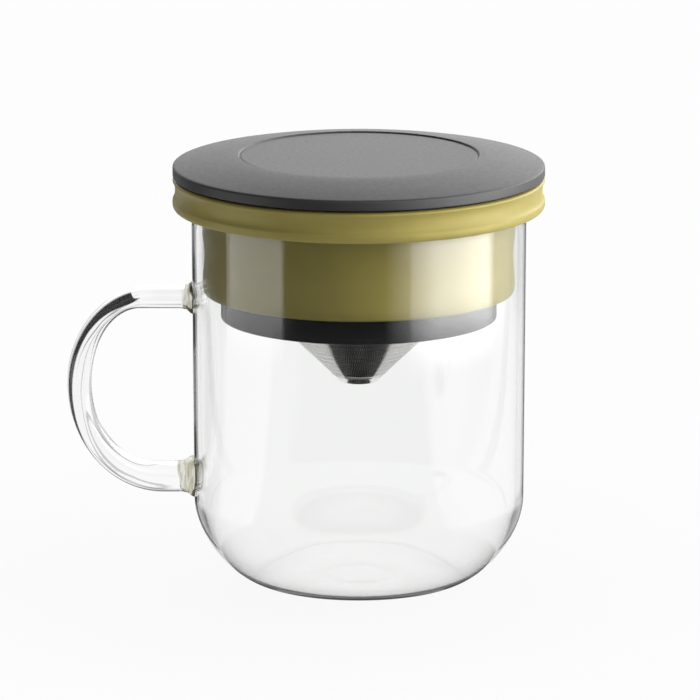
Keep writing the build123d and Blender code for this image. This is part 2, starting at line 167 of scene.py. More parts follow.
class FilterSettings(bpy.types.PropertyGroup):
    radius: length("Radius", "Outer radius of the housing's tube", 36.3 * MM)
    wall: length("Wall", "Thickness of the tube", 1.8 * MM)
    flange: length("Flange", "Thickness of the flange", 1.8 * MM)
    shelf: length("Shelf", "Width of the shelf under the cone's hoop", 1.5 * MM)
    shelf_thickness: length("Shelf Thickness", "Thickness of that shelf", 1.6 * MM)
    tip: length("Tip", "Radius of the cone's cut end", 5.5 * MM)
    slot_pitch: length("Slot Pitch", "Distance between slots round the cone", 0.55 * MM)
    row_pitch: length("Row Pitch", "Distance between rows along the cone", 1.8 * MM)
    slot_share: share("Slot Share", "How much of its cell each slot opens", 0.45)
    slot_stretch: number("Slot Stretch", "How much longer each slot is along the cone", 1.85)
    sheet: length("Sheet", "Thickness of the perforated sheet", 0.25 * MM)
    wire: length("Wire", "Thickness of the woven wires", 0.13 * MM)
    wire_pitch: length("Wire Pitch", "Distance between the woven wires", 0.26 * MM)
    hoop_inner: length("Hoop Bore", "Inner radius of the hoop", 31.26 * MM)
    clamp_width: length("Clamp Width", "Width of the snap ring", 1.7 * MM)
    cap_taper: length("Cap Taper", "How far the cap narrows to its floor", 1.9 * MM)
    cap_wall: length("Cap Wall", "Thickness of the cap's rim", 0.35 * MM)
    smoke: colour("Smoke", "Colour of the housing", (0.006, 0.0062, 0.0068))
    steel: colour("Steel", "Colour of the steel", (0.84, 0.83, 0.81))
    wire_steel: colour("Wire Steel", "Colour of the woven wires", (0.40, 0.395, 0.385))
    cap_bead: length("Cap Bead", "Height of the bead round the cap", 0.5 * MM)


class LidSettings(bpy.types.PropertyGroup):
    edge: length("Edge", "Height of the upright edge", 2.7 * MM)
    shoulder: length("Shoulder", "How far in the edge turns over", 0.7 * MM)
    shoulder_rise: length("Shoulder Rise", "Height of the turned edge", 0.6 * MM)
    slope: number("Dome Slope", "Rise of the dome just inside its shoulder", 0.22)
    relief: length("Relief", "Gap between the cover's rim and the collar", 0.5 * MM)
    relief_width: length("Relief Width", "How far in that gap reaches", 4.6 * MM)
    fall: length("Crown Fall", "Drop of the dome halfway out", 1.0 * MM)
    recess: length("Recess", "Radius of the round recess", 31.3 * MM)
    recess_depth: length("Recess Depth", "Depth of the recess", 0.3 * MM)
    chamfer: length("Chamfer", "Width of the recess's sloping rim", 0.35 * MM)
    groove: length("Groove", "Depth of the fine groove round the recess", 0.2 * MM)
    groove_width: length("Groove Width", "Width of that groove", 0.6 * MM)
    wall: length("Wall", "Thickness of the cover", 2.2 * MM)
    pocket: length("Pocket", "Clearance round the plug's flange", 0.2 * MM)
    plug_wall: length("Plug Wall", "Thickness of the plug", 1.8 * MM)
    plug_gap: length("Plug Gap", "Plug to the collar's mouth", 0.9 * MM)
    seal_depth: length("Seal Depth", "Depth of the seal's groove", 1.0 * MM)
    tint: colour("Tint", "Colour of the moulding", (0.028, 0.028, 0.029))
    roughness: share("Roughness", "Matte of the moulding", 0.48)
    seal: colour("Seal", "Colour of the seal", (0.30, 0.30, 0.30))


class StudioSettings(bpy.types.PropertyGroup):
    lens_pixels: number("Lens", "Focal length in pixels of the picture", 6500)
    distance: length("Distance", "Camera to the middle of the mug", 1.715)
    elevation: number("Elevation", "Camera above the horizon, in degrees", 12.99)
    target: length("Target", "Height that the camera is aimed at", 55 * MM)
    aim_x: number("Aim X", "Pixel across where that point lies", 358.8)
    aim_y: number("Aim Y", "Pixel down where that point lies", 372.0)
    ambient: number("Ambient", "Even light from all round", 0.27)
    through: number("Through", "Even light that reaches the inside through the glass", 0.50)
    key: number("Key", "Radiance of the softbox on the right", 7.6)
    top: number("Top", "Radiance of the softbox overhead", 3.0)
    white: number("White", "Brightness of the backdrop", 0.985)
    guided: number("Guided", "Radiance for light that was guided along inside the glass", 0.85)
    # painted contact shade: a dark radiance given to the table near and below the mug's base, for
    # light that crossed only the glass's front wall
    contact_shade_radiance: number("Rim Light", "Radiance that the curved base mirrors from below", 0.04)
    far_side: number("Far Side", "Radiance that the back of the glass mirrors", 1.2)
    calm: number("Calm", "Radiance overhead as the glass mirrors it", 1.02)
    peak: number("Peak", "Radiance of the brightest panel that is mirrored", 7.5)
    shadow: share("Shadow", "How much of the mug's shadow the floor shows", 0.08)


# ------------------------------------------------------------------- outlines


def bezier(points, steps=CURVE_STEPS):
    """Points along a Bezier curve, without its first one."""
    made = []
    for step in range(1, steps + 1):
        level = [Vector(point) for point in points]
        while len(level) > 1:
            level = [a.lerp(b, step / steps) for a, b in zip(level, level[1:])]
        made.append(level[0])
    return made


def ease(part):
    """0 to 1 with soft ends."""
    part = min(1.0, max(0.0, part))
    return part * part * (3 - 2 * part)


def straight(start, end, steps=CURVE_STEPS):
    """Even points from one point to another, without the first one."""
    return [Vector(start).lerp(Vector(end), i / steps) for i in range(1, steps + 1)]


def rounded(corners, steps=CORNER_STEPS):
    """A closed outline from (radius, height) or (radius, height, rounding) corners."""
    made = []
    for i, corner in enumerate(corners):
        point = Vector(corner[:2])
        if len(corner) < 3:
            made.append(point)
            continue
        before = Vector(corners[i - 1][:2]) - point
        after = Vector(corners[(i + 1) % len(corners)][:2]) - point
        start = point + before.normalized() * corner[2]
        made.append(start)
        made += bezier([start, point, point + after.normalized() * corner[2]], steps)
    return made


def through(points, start, end, steps=CURVE_STEPS):
    """A smooth curve through points that leaves and arrives in two directions."""
    points = [Vector(point) for point in points]
    made = []
    for i in range(len(points) - 1):
        here, there = points[i], points[i + 1]
        span = (there - here).length / 3
        leave = Vector(start) if i == 0 else there - points[i - 1]
        arrive = Vector(end) if i == len(points) - 2 else points[i + 2] - here
        first = here + leave.normalized() * span
        second = there - arrive.normalized() * span
        made += bezier([here, first, second, there], steps)
    return made


# --------------------------------------------------------------------- meshes


def new_mesh(name, shape, sharp=35):
    """A smooth-shaded mesh from a bmesh, creased where faces meet steeply."""
    mesh = bpy.data.meshes.new(name)
    bmesh.ops.recalc_face_normals(shape, faces=shape.faces)
    shape.to_mesh(mesh)
    shape.free()
    mesh.shade_smooth()
    mesh.set_sharp_from_angle(angle=math.radians(sharp))
    return mesh


def lathe(name, outline, zones=None):
    """Turns a closed outline of (radius, height) points about the mug's axis."""
    shape = bmesh.new()
    uv = shape.loops.layers.uv.new("UVMap")
    rings = []
    for radius, height in outline:
        if radius < TINY:
            rings.append([shape.verts.new((0, 0, height))] * SIDES)
            continue
        turn = [2 * math.pi * i / SIDES for i in range(SIDES)]
        rings.append([
            shape.verts.new((radius * math.cos(a), radius * math.sin(a), height)) for a in turn
        ])
    run = 0
    for k, low in enumerate(rings):
        high = rings[(k + 1) % len(rings)]
        step = (Vector(outline[(k + 1) % len(outline)]) - Vector(outline[k])).length
        for i in range(SIDES):
            j = (i + 1) % SIDES
            places = [(i, run), (i + 1, run), (i + 1, run + step), (i, run + step)]
            corners = [low[i], low[j], high[j], high[i]]
            kept = [n for n in range(4) if corners[n] is not corners[n - 1]]
            if len({corners[n] for n in kept}) < 3:
                continue
            face = shape.faces.new([corners[n] for n in kept])
            face.material_index = zones[k] if zones else 0
            for loop, n in zip(face.loops, kept):
                loop[uv].uv = (places[n][0] / SIDES, places[n][1])
        run += step
    return new_mesh(name, shape)


def add_piece(name, mesh, materials, body, slot, *nodes):
    """Puts a finished mesh on its body in place of its CAD nodes."""
    zones = [face.material_index for face in mesh.polygons]
    mesh.materials.clear()
    for material in materials:
        mesh.materials.append(material)
    if len(materials) > 1:
        mesh.polygons.foreach_set("material_index", zones)
    piece = bpy.data.objects.new(name, mesh)
    bpy.context.scene.collection.objects.link(piece)
    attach(piece, body)
    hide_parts(*nodes)


def add_turned(name, outline, material, body, slot, node):
    """A piece turned from an outline, in place of one CAD node."""
    add_piece(name, lathe(name, outline), [material], body, slot, node)


def run_modifier(holder, modifier):
    """The plain mesh that a modifier makes of its holder, which goes away."""
    depsgraph = bpy.context.evaluated_depsgraph_get()
    mesh = bpy.data.meshes.new_from_object(holder.evaluated_get(depsgraph))
    holder.modifiers.remove(modifier)
    old = holder.data
    bpy.data.objects.remove(holder)
    bpy.data.meshes.remove(old)
    return mesh


def in_scene(name, mesh):
    """A working object that shows a mesh until it is used up."""
    holder = bpy.data.objects.new(name, mesh)
    bpy.context.scene.collection.objects.link(holder)
    return holder


# ----------------------------------------------------------------------- nodes


def node_writer(tree):
    """A function that adds nodes to a tree; values are numbers or sockets, by input."""
    def put(kind, values=None, **settings):
        node = tree.nodes.new(kind)
        for key, value in settings.items():
            setattr(node, key, value)
        for key, value in (values or {}).items():
            if isinstance(value, bpy.types.NodeSocket):
                tree.links.new(value, node.inputs[key])
            else:
                node.inputs[key].default_value = value
        return node

    return put


def maths(put, operation, *values, clamp=False):
    """The result of a Math node."""
    values = dict(enumerate(values))
    return put("ShaderNodeMath", values, operation=operation, use_clamp=clamp).outputs[0]


def blend(put, share_of, low, high, way="MIX"):
    """A colour between two, which are sockets or four numbers each."""
    values = {"Factor": share_of, 6: low, 7: high}
    return put("ShaderNodeMix", values, data_type="RGBA", blend_type=way).outputs[2]


def ramp(put, value, stops):
    """A grey ramp from (place, brightness) stops."""
    node = put("ShaderNodeValToRGB", {"Fac": value})
    while len(node.color_ramp.elements) < len(stops):
        node.color_ramp.elements.new(1.0)
    for element, (place, grey) in zip(node.color_ramp.elements, stops):
        element.position = place
        element.color = (grey, grey, grey, 1)
    return node.outputs["Color"]


# ------------------------------------------------------------- geometry nodes


class Tree:
    """Builds a Geometry Nodes tree whose named inputs are numbers."""

    def __init__(self, name, labels):
        self.group = bpy.data.node_groups.new(name, "GeometryNodeTree")
        for label in labels:
            self.group.interface.new_socket(
                name=label, in_out="INPUT", socket_type="NodeSocketFloat"
            )
        self.group.interface.new_socket(
            name="Geometry", in_out="OUTPUT", socket_type="NodeSocketGeometry"
        )
        self.put = node_writer(self.group)
        self.entry = self.put("NodeGroupInput")
        self.exit = self.put("NodeGroupOutput")

    def input(self, label):
        return self.entry.outputs[label]

    def math(self, operation, *values):
        return maths(self.put, operation, *values)

    def vector(self, x=0.0, y=0.0, z=0.0):
        return self.put("ShaderNodeCombineXYZ", {"X": x, "Y": y, "Z": z}).outputs[0]

    def vectors(self, operation, *values):
        """The result of a Vector Math node."""
        values = dict(enumerate(values))
        return self.put("ShaderNodeVectorMath", values, operation=operation).outputs[0]

    def join(self, *pieces):
        joined = self.put("GeometryNodeJoinGeometry")
        for piece in pieces:
            self.group.links.new(piece, joined.inputs[0])
        return joined.outputs[0]

    def finish(self, geometry, material):
        """Ends the tree in Realize Instances and Set Material."""
        real = self.put("GeometryNodeRealizeInstances", {"Geometry": geometry})
        dressed = self.put(
            "GeometryNodeSetMaterial", {"Geometry": real.outputs[0], "Material": material}
        )
        self.group.links.new(dressed.outputs[0], self.exit.inputs[0])

    def grow(self, values):
        """Runs the tree on an empty mesh and returns the result as a plain mesh."""
        holder = in_scene(self.group.name, bpy.data.meshes.new(self.group.name))
        modifier = holder.modifiers.new(self.group.name, "NODES")
        modifier.node_group = self.group
        for item in self.group.interface.items_tree:
            if item.item_type == "SOCKET" and item.in_out == "INPUT":
                modifier[item.identifier] = values[item.name]
        return run_modifier(holder, modifier)


class ConeBand(Tree):
    """A tree for one band of a cone, given by the radius and height of its two ends."""

    def __init__(self, name, *sizes):
        ends = ["Bottom Radius", "Top Radius", "Bottom", "Top"]
        super().__init__(name, [*ends, *sizes])
        self.low, self.high, self.bottom, self.top = (self.input(label) for label in ends)
        self.widening = self.math("SUBTRACT", self.high, self.low)
        self.rise = self.math("SUBTRACT", self.top, self.bottom)

    def count_round(self, pitch):
        """How many pitches go round the middle of the band."""
        middle = self.math("MULTIPLY", self.math("ADD", self.low, self.high), math.pi)
        return self.math("ROUND", self.math("DIVIDE", middle, self.input(pitch)))

    def count_along(self, pitch):
        """How many pitches go up the slope of the band."""
        squares = [self.math("POWER", side, 2.0) for side in (self.widening, self.rise)]
        slant = self.math("SQRT", self.math("ADD", *squares))
        return self.math("ROUND", self.math("DIVIDE", slant, self.input(pitch)))

    def radius(self, along):
        return self.math("MULTIPLY_ADD", along, self.widening, self.low)

    def height(self, along):
        return self.math("MULTIPLY_ADD", along, self.rise, self.bottom)

    def place(self, along, turn):
        """The point at a share of the band's height and of its turn."""
        angle = self.math("MULTIPLY", turn, 2 * math.pi)
        radius = self.radius(along)
        x = self.math("MULTIPLY", radius, self.math("COSINE", angle))
        y = self.math("MULTIPLY", radius, self.math("SINE", angle))
        return self.vector(x, y, self.height(along))

    def uphill(self, place):
        """The direction up the slope at a place."""
        outward = self.vectors("NORMALIZE", self.vectors("MULTIPLY", place, (1.0, 1.0, 0.0)))
        outward = self.put("ShaderNodeVectorMath", {0: outward, "Scale": self.widening},
                           operation="SCALE").outputs[0]
        return self.vectors("ADD", outward, self.vector(z=self.rise))


def slot_cells(tree, place):
    """Staggered six-sided cells that cover the band, one for each slot."""
    columns, rows = tree.count_round("Slot Pitch"), tree.count_along("Row Pitch")
    grid = tree.put("GeometryNodeMeshGrid", {
        "Size X": 1.0, "Size Y": 1.0,
        "Vertices X": tree.math("ADD", columns, 1.0), "Vertices Y": tree.math("ADD", rows, 1.0),
    })
    split = tree.put("ShaderNodeSeparateXYZ", {0: place})
    turn = tree.math("ADD", split.outputs["X"], 0.5)
    along = tree.math("ADD", split.outputs["Y"], 0.5)
    row = tree.math("ROUND", tree.math("MULTIPLY", along, rows))
    half_step = tree.math("MULTIPLY", tree.math("MODULO", row, 2.0), 0.5)
    shift = tree.math("DIVIDE", half_step, columns)
    point = tree.place(along, tree.math("ADD", turn, shift))
    cone = tree.put("GeometryNodeSetPosition", {"Geometry": grid.outputs["Mesh"], "Position": point})
    closed = tree.put("GeometryNodeMergeByDistance", {"Geometry": cone.outputs[0], "Distance": WELD})
    cut = tree.put("GeometryNodeTriangulate", {0: closed.outputs[0]})
    cells = tree.put("GeometryNodeDualMesh", {"Mesh": cut.outputs[0], "Keep Boundaries": True})
    return cells.outputs[0]


def perforated_band(material):
    """Tree for a band of a cone: staggered long slots in thin sheet."""
    tree = ConeBand("perforated_band", "Slot Pitch", "Row Pitch", "Slot Share", "Slot Stretch",
                    "Sheet")
    place = tree.put("GeometryNodeInputPosition").outputs[0]
    inset = tree.put("GeometryNodeExtrudeMesh", {
        "Mesh": slot_cells(tree, place), "Offset Scale": 0.0, "Individual": True})
    slot = inset.outputs["Top"]
    shrunk = tree.put("GeometryNodeScaleElements", {
        "Geometry": inset.outputs["Mesh"], "Selection": slot, "Scale": tree.input("Slot Share")})
    longer = tree.put("GeometryNodeScaleElements", {
        "Geometry": shrunk.outputs[0], "Selection": slot, "Scale": tree.input("Slot Stretch"),
        "Axis": tree.uphill(place)}, scale_mode="SINGLE_AXIS")
    sheet = tree.put("GeometryNodeDeleteGeometry", {
        "Geometry": longer.outputs[0], "Selection": slot}, domain="FACE")
    outer = tree.put("GeometryNodeExtrudeMesh", {
        "Mesh": sheet.outputs[0], "Offset Scale": tree.input("Sheet"), "Individual": False})
    inner = tree.put("GeometryNodeFlipFaces", {"Mesh": sheet.outputs[0]})
    both = tree.join(inner.outputs[0], outer.outputs["Mesh"])
    solid = tree.put("GeometryNodeMergeByDistance", {"Geometry": both, "Distance": WELD})
    tree.finish(solid.outputs[0], material)
    return tree


def ring_wires(tree, index):
    """Level rings of wire, evenly up the slope."""
    rings = tree.count_along("Wire Pitch")
    along = tree.math("DIVIDE", tree.math("ADD", index, 0.5), rings)
    radius = tree.radius(along)
    points = tree.put("GeometryNodePoints", {
        "Count": rings, "Position": tree.vector(z=tree.height(along))})
    ring = tree.put("GeometryNodeCurvePrimitiveCircle", {"Resolution": WIRE_SIDES, "Radius": 1.0})
    return tree.put("GeometryNodeInstanceOnPoints", {
        "Points": points.outputs[0], "Instance": ring.outputs[0],
        "Scale": tree.vector(radius, radius, 1.0)}).outputs[0]


def slope_wires(tree, index):
    """Straight wires up the slope, evenly round the cone."""
    count = tree.count_round("Wire Pitch")
    wire = tree.put("GeometryNodeCurvePrimitiveLine", {
        "Start": tree.vector(x=tree.low, z=tree.bottom), "End": tree.vector(x=tree.high, z=tree.top)})
    around = tree.put("GeometryNodePoints", {"Count": count})
    angle = tree.math("DIVIDE", tree.math("MULTIPLY", index, 2 * math.pi), count)
    return tree.put("GeometryNodeInstanceOnPoints", {
        "Points": around.outputs[0], "Instance": wire.outputs[0],
        "Rotation": tree.vector(z=angle)}).outputs[0]


def woven_band(material):
    """Tree for a band of a cone: rings and slope wires of a fine woven mesh."""
    tree = ConeBand("woven_band", "Wire", "Wire Pitch")
    index = tree.put("GeometryNodeInputIndex").outputs[0]
    both = tree.join(ring_wires(tree, index), slope_wires(tree, index))
    real = tree.put("GeometryNodeRealizeInstances", {"Geometry": both})
    half = tree.math("MULTIPLY", tree.input("Wire"), 0.5)
    section = tree.put("GeometryNodeCurvePrimitiveCircle", {"Resolution": 3, "Radius": half})
    wires = tree.put("GeometryNodeCurveToMesh", {
        "Curve": real.outputs[0], "Profile Curve": section.outputs[0], "Fill Caps": True})
    tree.finish(wires.outputs[0], material)
    return tree


def cone_bands(tree, name, splits, low_radius, low, slope, values, sharp):
    """Grows one band of a cone between each two radii and joins them into one mesh."""
    shape = bmesh.new()
    for inner, outer in zip(splits, splits[1:]):
        sizes = dict(values)
        sizes["Bottom Radius"], sizes["Top Radius"] = inner, outer
        sizes["Bottom"] = low + (inner - low_radius) / slope
        sizes["Top"] = low + (outer - low_radius) / slope
        band = tree.grow(sizes)
        shape.from_mesh(band)
        bpy.data.meshes.remove(band)
    bpy.data.node_groups.remove(tree.group)
    return new_mesh(name, shape, sharp)


# ------------------------------------------------------------------ materials


class Finish:
    """A node-based material around one Principled shader."""

    def __init__(self, name, base, roughness, **settings):
        self.material = bpy.data.materials.new(name)
        self.material.use_nodes = True
        self.nodes = self.material.node_tree.nodes
        self.links = self.material.node_tree.links
        self.put = node_writer(self.material.node_tree)
        self.shader = self.nodes["Principled BSDF"]
        self.set("Base Color", (*base, 1))
        self.set("Roughness", roughness)
        for key, value in settings.items():
            self.set(key.replace("_", " "), value)
        self.object = self.put("ShaderNodeTexCoord").outputs["Object"]

    def set(self, name, value):
        self.shader.inputs[name].default_value = value

    def vary(self, name, value):
        """Lets a socket set one of the shader's inputs from place to place."""
        self.links.new(value, self.shader.inputs[name])

    def noise(self, scale, detail=3.0, stretch=None):
        """Noise on the object's own coordinates, stretched by a scale per axis."""
        place = self.object
        if stretch:
            place = self.put("ShaderNodeMapping", {"Vector": place, "Scale": stretch}).outputs[0]
        values = {"Vector": place, "Scale": scale, "Detail": detail}
        return self.put("ShaderNodeTexNoise", values).outputs[0]

    def span(self, value, low, high, start=0.3, end=0.7):
        """Maps a value from one range onto another."""
        values = {"Value": value, "From Min": start, "From Max": end, "To Min": low, "To Max": high}
        return self.put("ShaderNodeMapRange", values).outputs[0]

    def colour_between(self, share_of, dark, light):
        """Sets the base colour between two."""
        self.vary("Base Color", blend(self.put, share_of, (*dark, 1), (*light, 1)))

    def mottle(self, value, base, change):
        """Varies the base colour a little with a noise."""
        darker = tuple(c * (1 - change) for c in base)
        lighter = tuple(min(c * (1 + change), 1) for c in base)
        self.colour_between(self.span(value, 0, 1), darker, lighter)

    def rough(self, value, low, high):
        self.vary("Roughness", self.span(value, low, high))

    def bump(self, height, distance, strength=1.0, under=None):
        """Raises the surface by a height; distance is in metres."""
        values = {"Height": height, "Distance": distance, "Strength": strength}
        if under:
            values["Normal"] = under
        made = self.put("ShaderNodeBump", values).outputs[0]
        self.vary("Normal", made)
        return made


def silicone(name, tint, roughness):
    """Satin moulded silicone: fine skin, faint mottling, soft sheen."""
    made = Finish(name, tint, roughness, IOR=1.43, Sheen_Weight=0.04, Sheen_Roughness=0.45)
    made.mottle(made.noise(90, 2), tint, 0.05)
    made.rough(made.noise(420, 3), roughness - 0.05, roughness + 0.07)
    skin = made.bump(made.noise(5200, 2), 0.005 * MM, 0.6)
    made.bump(made.noise(180, 1), 0.02 * MM, 0.3, skin)
    return made.material


def moulded_plastic(name, tint, roughness):
    """Matte plastic with the fine grain of a spark-eroded mould."""
    made = Finish(name, tint, roughness, IOR=1.5)
    made.mottle(made.noise(140, 2), tint, 0.05)
    made.rough(made.noise(900, 3), roughness - 0.03, roughness + 0.04)
    grain = made.bump(made.noise(4200, 2), 0.006 * MM, 0.8)
    made.bump(made.noise(160, 1), 0.01 * MM, 0.3, grain)
    return made.material


def smoke_plastic(settings):
    """Glossy near-black plastic with faint handling marks."""
    made = Finish("smoke_plastic_gloss", settings.smoke, 0.2, IOR=1.45)
    made.mottle(made.noise(60, 2), settings.smoke, 0.15)
    made.rough(made.noise(160, 4, (1, 1, 0.4)), 0.16, 0.26)
    made.bump(made.noise(120, 2), 0.01 * MM, 0.4)
    return made.material


def steel(name, tint, roughness, stretch, spread=0.08):
    """Stainless steel with fine lines along one direction."""
    made = Finish(name, tint, roughness, Metallic=1.0)
    lines = made.noise(1500, 3, stretch)
    made.mottle(lines, tint, 0.06)
    made.rough(lines, roughness - spread, roughness + spread)
    made.bump(lines, 0.004 * MM, 0.5)
    return made.material


def clear_glass(name, settings):
    """Clear glass that lamps shine through."""
    made = Finish(name, settings.tint, 0.0, IOR=settings.ior, Transmission_Weight=1.0)
    lamp = made.put("ShaderNodeLightPath").outputs["Is Shadow Ray"]
    clear = made.put("ShaderNodeBsdfTransparent", {"Color": (*settings.tint, 1)})
    mixed = made.put("ShaderNodeMixShader", {
        0: lamp, 1: made.shader.outputs[0], 2: clear.outputs[0]})
    made.links.new(mixed.outputs[0], made.nodes["Material Output"].inputs["Surface"])
    return made


# Painted reflections: dark and grey lines painted into the colour of the handle's glass along its
# strap. They stand in for the dark surroundings that thick bent glass would mirror and bend.
# Each has stops of (place along the strap, lower edge and upper edge across it), then its softness,
# its depth, and how far past its lower edge it runs.
STRAP_PAINTED_REFLECTIONS = (
    # the black band over the upper bow
    (((0.262, 0.62, 0.63), (0.28, 0.42, 0.70), (0.29, 0.38, 1.1), (0.31, 0.40, 1.1),
      (0.34, 0.51, 1.1), (0.37, 0.60, 1.1), (0.40, 0.66, 1.1), (0.448, 0.70, 1.1),
      (0.479, 0.72, 1.1), (0.51, 0.75, 1.1), (0.542, 0.78, 1.1), (0.573, 0.83, 1.1),
      (0.604, 0.88, 1.1), (0.68, 0.92, 1.1), (0.80, 0.96, 1.1)), 0.05, 1.0),
    # the dark streak that leaves the band inward
    (((0.29, 0.37, 0.42), (0.323, 0.36, 0.44), (0.354, 0.42, 0.50), (0.385, 0.42, 0.51),
      (0.417, 0.51, 0.59), (0.448, 0.58, 0.64), (0.50, 0.62, 0.65)), 0.03, 0.9),
    # the grey line through the middle, out at the end of the lower leg
    (((0.26, 0.20, 0.24), (0.33, 0.26, 0.31), (0.385, 0.31, 0.36), (0.417, 0.34, 0.40),
      (0.479, 0.34, 0.40), (0.51, 0.40, 0.45), (0.542, 0.43, 0.48), (0.573, 0.52, 0.58),
      (0.604, 0.62, 0.69), (0.635, 0.69, 0.80), (0.667, 0.74, 0.84), (0.698, 0.74, 0.82),
      (0.76, 0.82, 0.88), (0.84, 0.84, 0.86)), 0.02, 0.6),
    # the inner edge of the lower bow
    (((0.43, 0.03, 0.07), (0.479, 0.02, 0.09), (0.542, 0.0, 0.13), (0.573, 0.0, 0.17),
      (0.604, 0.0, 0.18), (0.635, 0.0, 0.14), (0.66, 0.0, 0.08), (0.70, 0.0, 0.0)), 0.03, 0.6, 1.0),
    # a faint grey over the outer half of the upper leg
    (((0.06, 0.44, 1.1), (0.25, 0.44, 1.1), (0.29, 0.60, 1.1)), 0.03, 0.12),
)
# How the painted reflection lines begin, end and fade out over the strap's side faces.
LINE_BEGINS = 200.0        # how quickly a line comes up where it begins
LINE_ENDS = 12.0           # how quickly it fades where it ends
CLEAR_SIDE = (0.20, 0.36)  # shares of the strap's width where its side faces stay clear


def painted_reflection_line(put, across, along, stops, soft, depth, past=0.0):
    """Light left where a painted reflection line runs along the strap."""
    lower = ramp(put, along, [(place, low) for place, low, _ in stops])
    upper = ramp(put, along, [(place, high) for place, _, high in stops])
    over = maths(put, "DIVIDE", maths(put, "SUBTRACT", across, lower), soft)
    over = maths(put, "ADD", over, past, clamp=True)
    under = maths(put, "DIVIDE", maths(put, "SUBTRACT", upper, across), soft, clamp=True)
    begun = maths(put, "SUBTRACT", along, stops[0][0])
    begun = maths(put, "MULTIPLY", begun, LINE_BEGINS, clamp=True)
    to_come = maths(put, "SUBTRACT", stops[-1][0], along)
    to_come = maths(put, "MULTIPLY", to_come, LINE_ENDS, clamp=True)
    amount = maths(put, "MULTIPLY", maths(put, "MULTIPLY", over, under),
                   maths(put, "MULTIPLY", maths(put, "MULTIPLY", begun, to_come), depth))
    return maths(put, "SUBTRACT", 1.0, amount)


def strap_glass_painted_reflections(name, settings):
    """Clear glass with painted reflections: the dark and grey lines that thick bent glass shows along
    itself are painted into its colour.
    """
    made = clear_glass(name, settings)
    place = made.put("ShaderNodeUVMap", uv_map="UVMap").outputs[0]
    across, along = made.put("ShaderNodeSeparateXYZ", {0: place}).outputs[0:2]
    left = 1.0
    for line in STRAP_PAINTED_REFLECTIONS:
        left = maths(made.put, "MULTIPLY", left, painted_reflection_line(made.put, across, along, *line))
    sideways = made.put("ShaderNodeSeparateXYZ", {0: made.object}).outputs["Y"]
    full, gone = (settings.width * share_of for share_of in CLEAR_SIDE)
    clear = made.span(maths(made.put, "ABSOLUTE", sideways), 1.0, 0.0, full, gone)
    left = maths(made.put, "MAXIMUM", left, clear)
    # Paints the reflections into the base colour: the edge colour where lines run, the clear tint
    # elsewhere.
    made.colour_between(left, settings.edge, settings.tint)
    return made


def pad_glass(name, settings):
    """The fused pads: wrinkled glass, a little cloudy, with olive lines painted in as the refractions
    that its facets would show.
    """
    made = clear_glass(name, settings)
    made.set("IOR", settings.pad_ior)
    made.set("Transmission Weight", 1 - settings.pad_cloud)
    wrinkles_and_painted_lines = made.noise(900, 2, (1, 0.2, 0.2))
    # The same noise bumps the surface into real wrinkles and paints olive refraction lines along
    # them.
    made.colour_between(made.span(wrinkles_and_painted_lines, 0, 1, 0.42, 0.62), settings.pad_painted_refraction, settings.pad)
    made.bump(wrinkles_and_painted_lines, 0.25 * MM)
    return made


# ---------------------------------------------------------------- glass pieces

OUTSIDE, INSIDE, STRAP, PAD = range(4)      # materials of the glass mug
BASE_BLEND = 0.3           # share of the corner in which the base's thickness runs out
WALL_BLEND = 0.6           # share of it in which the wall's thickness comes up
QUARTER = 4 / 3 * (math.sqrt(2) - 1)        # Bezier handle of a quarter turn
PAD_CURVE = 1.6            # how steeply a pad flares at the wall
PAD_RIDGES = 3.5           # ridges and hollows along a pad
PAD_LUMP = 0.15            # height of the lumps round a pad, as a share of its flare
PAD_LUMPS = 5              # how many lumps go round it
BOW_PLACE = 0.42           # where the upper bow lies along the strap
BOW_SPREAD = 0.14          # how far its rounder section reaches


def wall_middle(settings):
    """A radius inside the wall's thickness, where the handle's root ends."""
    return reach("glass_body").radius - 0.6 * settings.wall


def tumbler_outside(settings):
    """Half section of the outside: flat, rounded corner, wall and the rim's outer half."""
    radius, base, top = reach("glass_body")
    outer_wall = radius - settings.taper
    width = outer_wall - settings.flat
    start = Vector((settings.flat, base))
    turn = [start] + bezier([
        start, (settings.flat + width * settings.corner_spread, base),
        (outer_wall, base + settings.corner * (1 - settings.corner_drop)),
        (outer_wall, base + settings.corner),
    ], 2 * CURVE_STEPS)
    rim = settings.rim
    outer = [Vector((0, base)), Vector((settings.flat / 2, base))] + turn
    outer += straight(turn[-1], (radius, top - rim), WALL_STEPS)
    outer += bezier([(radius, top - rim), (radius, top), (radius - rim, top)], CORNER_STEPS)
    return outer, turn


def tumbler_inside(settings, turn):
    """Half section of the inside, from the rim down; turn is the outside's corner."""
    radius, base, top = reach("glass_body")
    rim, thin = settings.rim, settings.corner_wall
    bore = radius - settings.wall
    corner = []
    for i in range(1, len(turn) - 1):
        part = i / (len(turn) - 1)
        along = (turn[i + 1] - turn[i - 1]).normalized()
        thick = thin + (settings.floor - thin) * (1 - ease(part / BASE_BLEND))
        thick += (settings.wall - thin) * ease((part - BASE_BLEND) / WALL_BLEND)
        corner.append(turn[i] + Vector((-along.y, along.x)) * thick)
    corner.append(turn[-1] - Vector((settings.wall, 0)))
    inner = bezier([(bore + rim, top), (bore, top), (bore, top - rim)], CORNER_STEPS)
    inner += straight(inner[-1], corner[-1], WALL_STEPS)[:-1]
    inner += reversed(corner)
    steps = 2 * CURVE_STEPS
    for i in range(steps, -1, -1):
        out = settings.flat * i / steps
        ring = math.exp(-(((out - settings.dimple_radius) / (settings.dimple_radius / 3)) ** 2))
        inner.append(Vector((out, base + settings.floor - settings.dimple * ring)))
    return inner


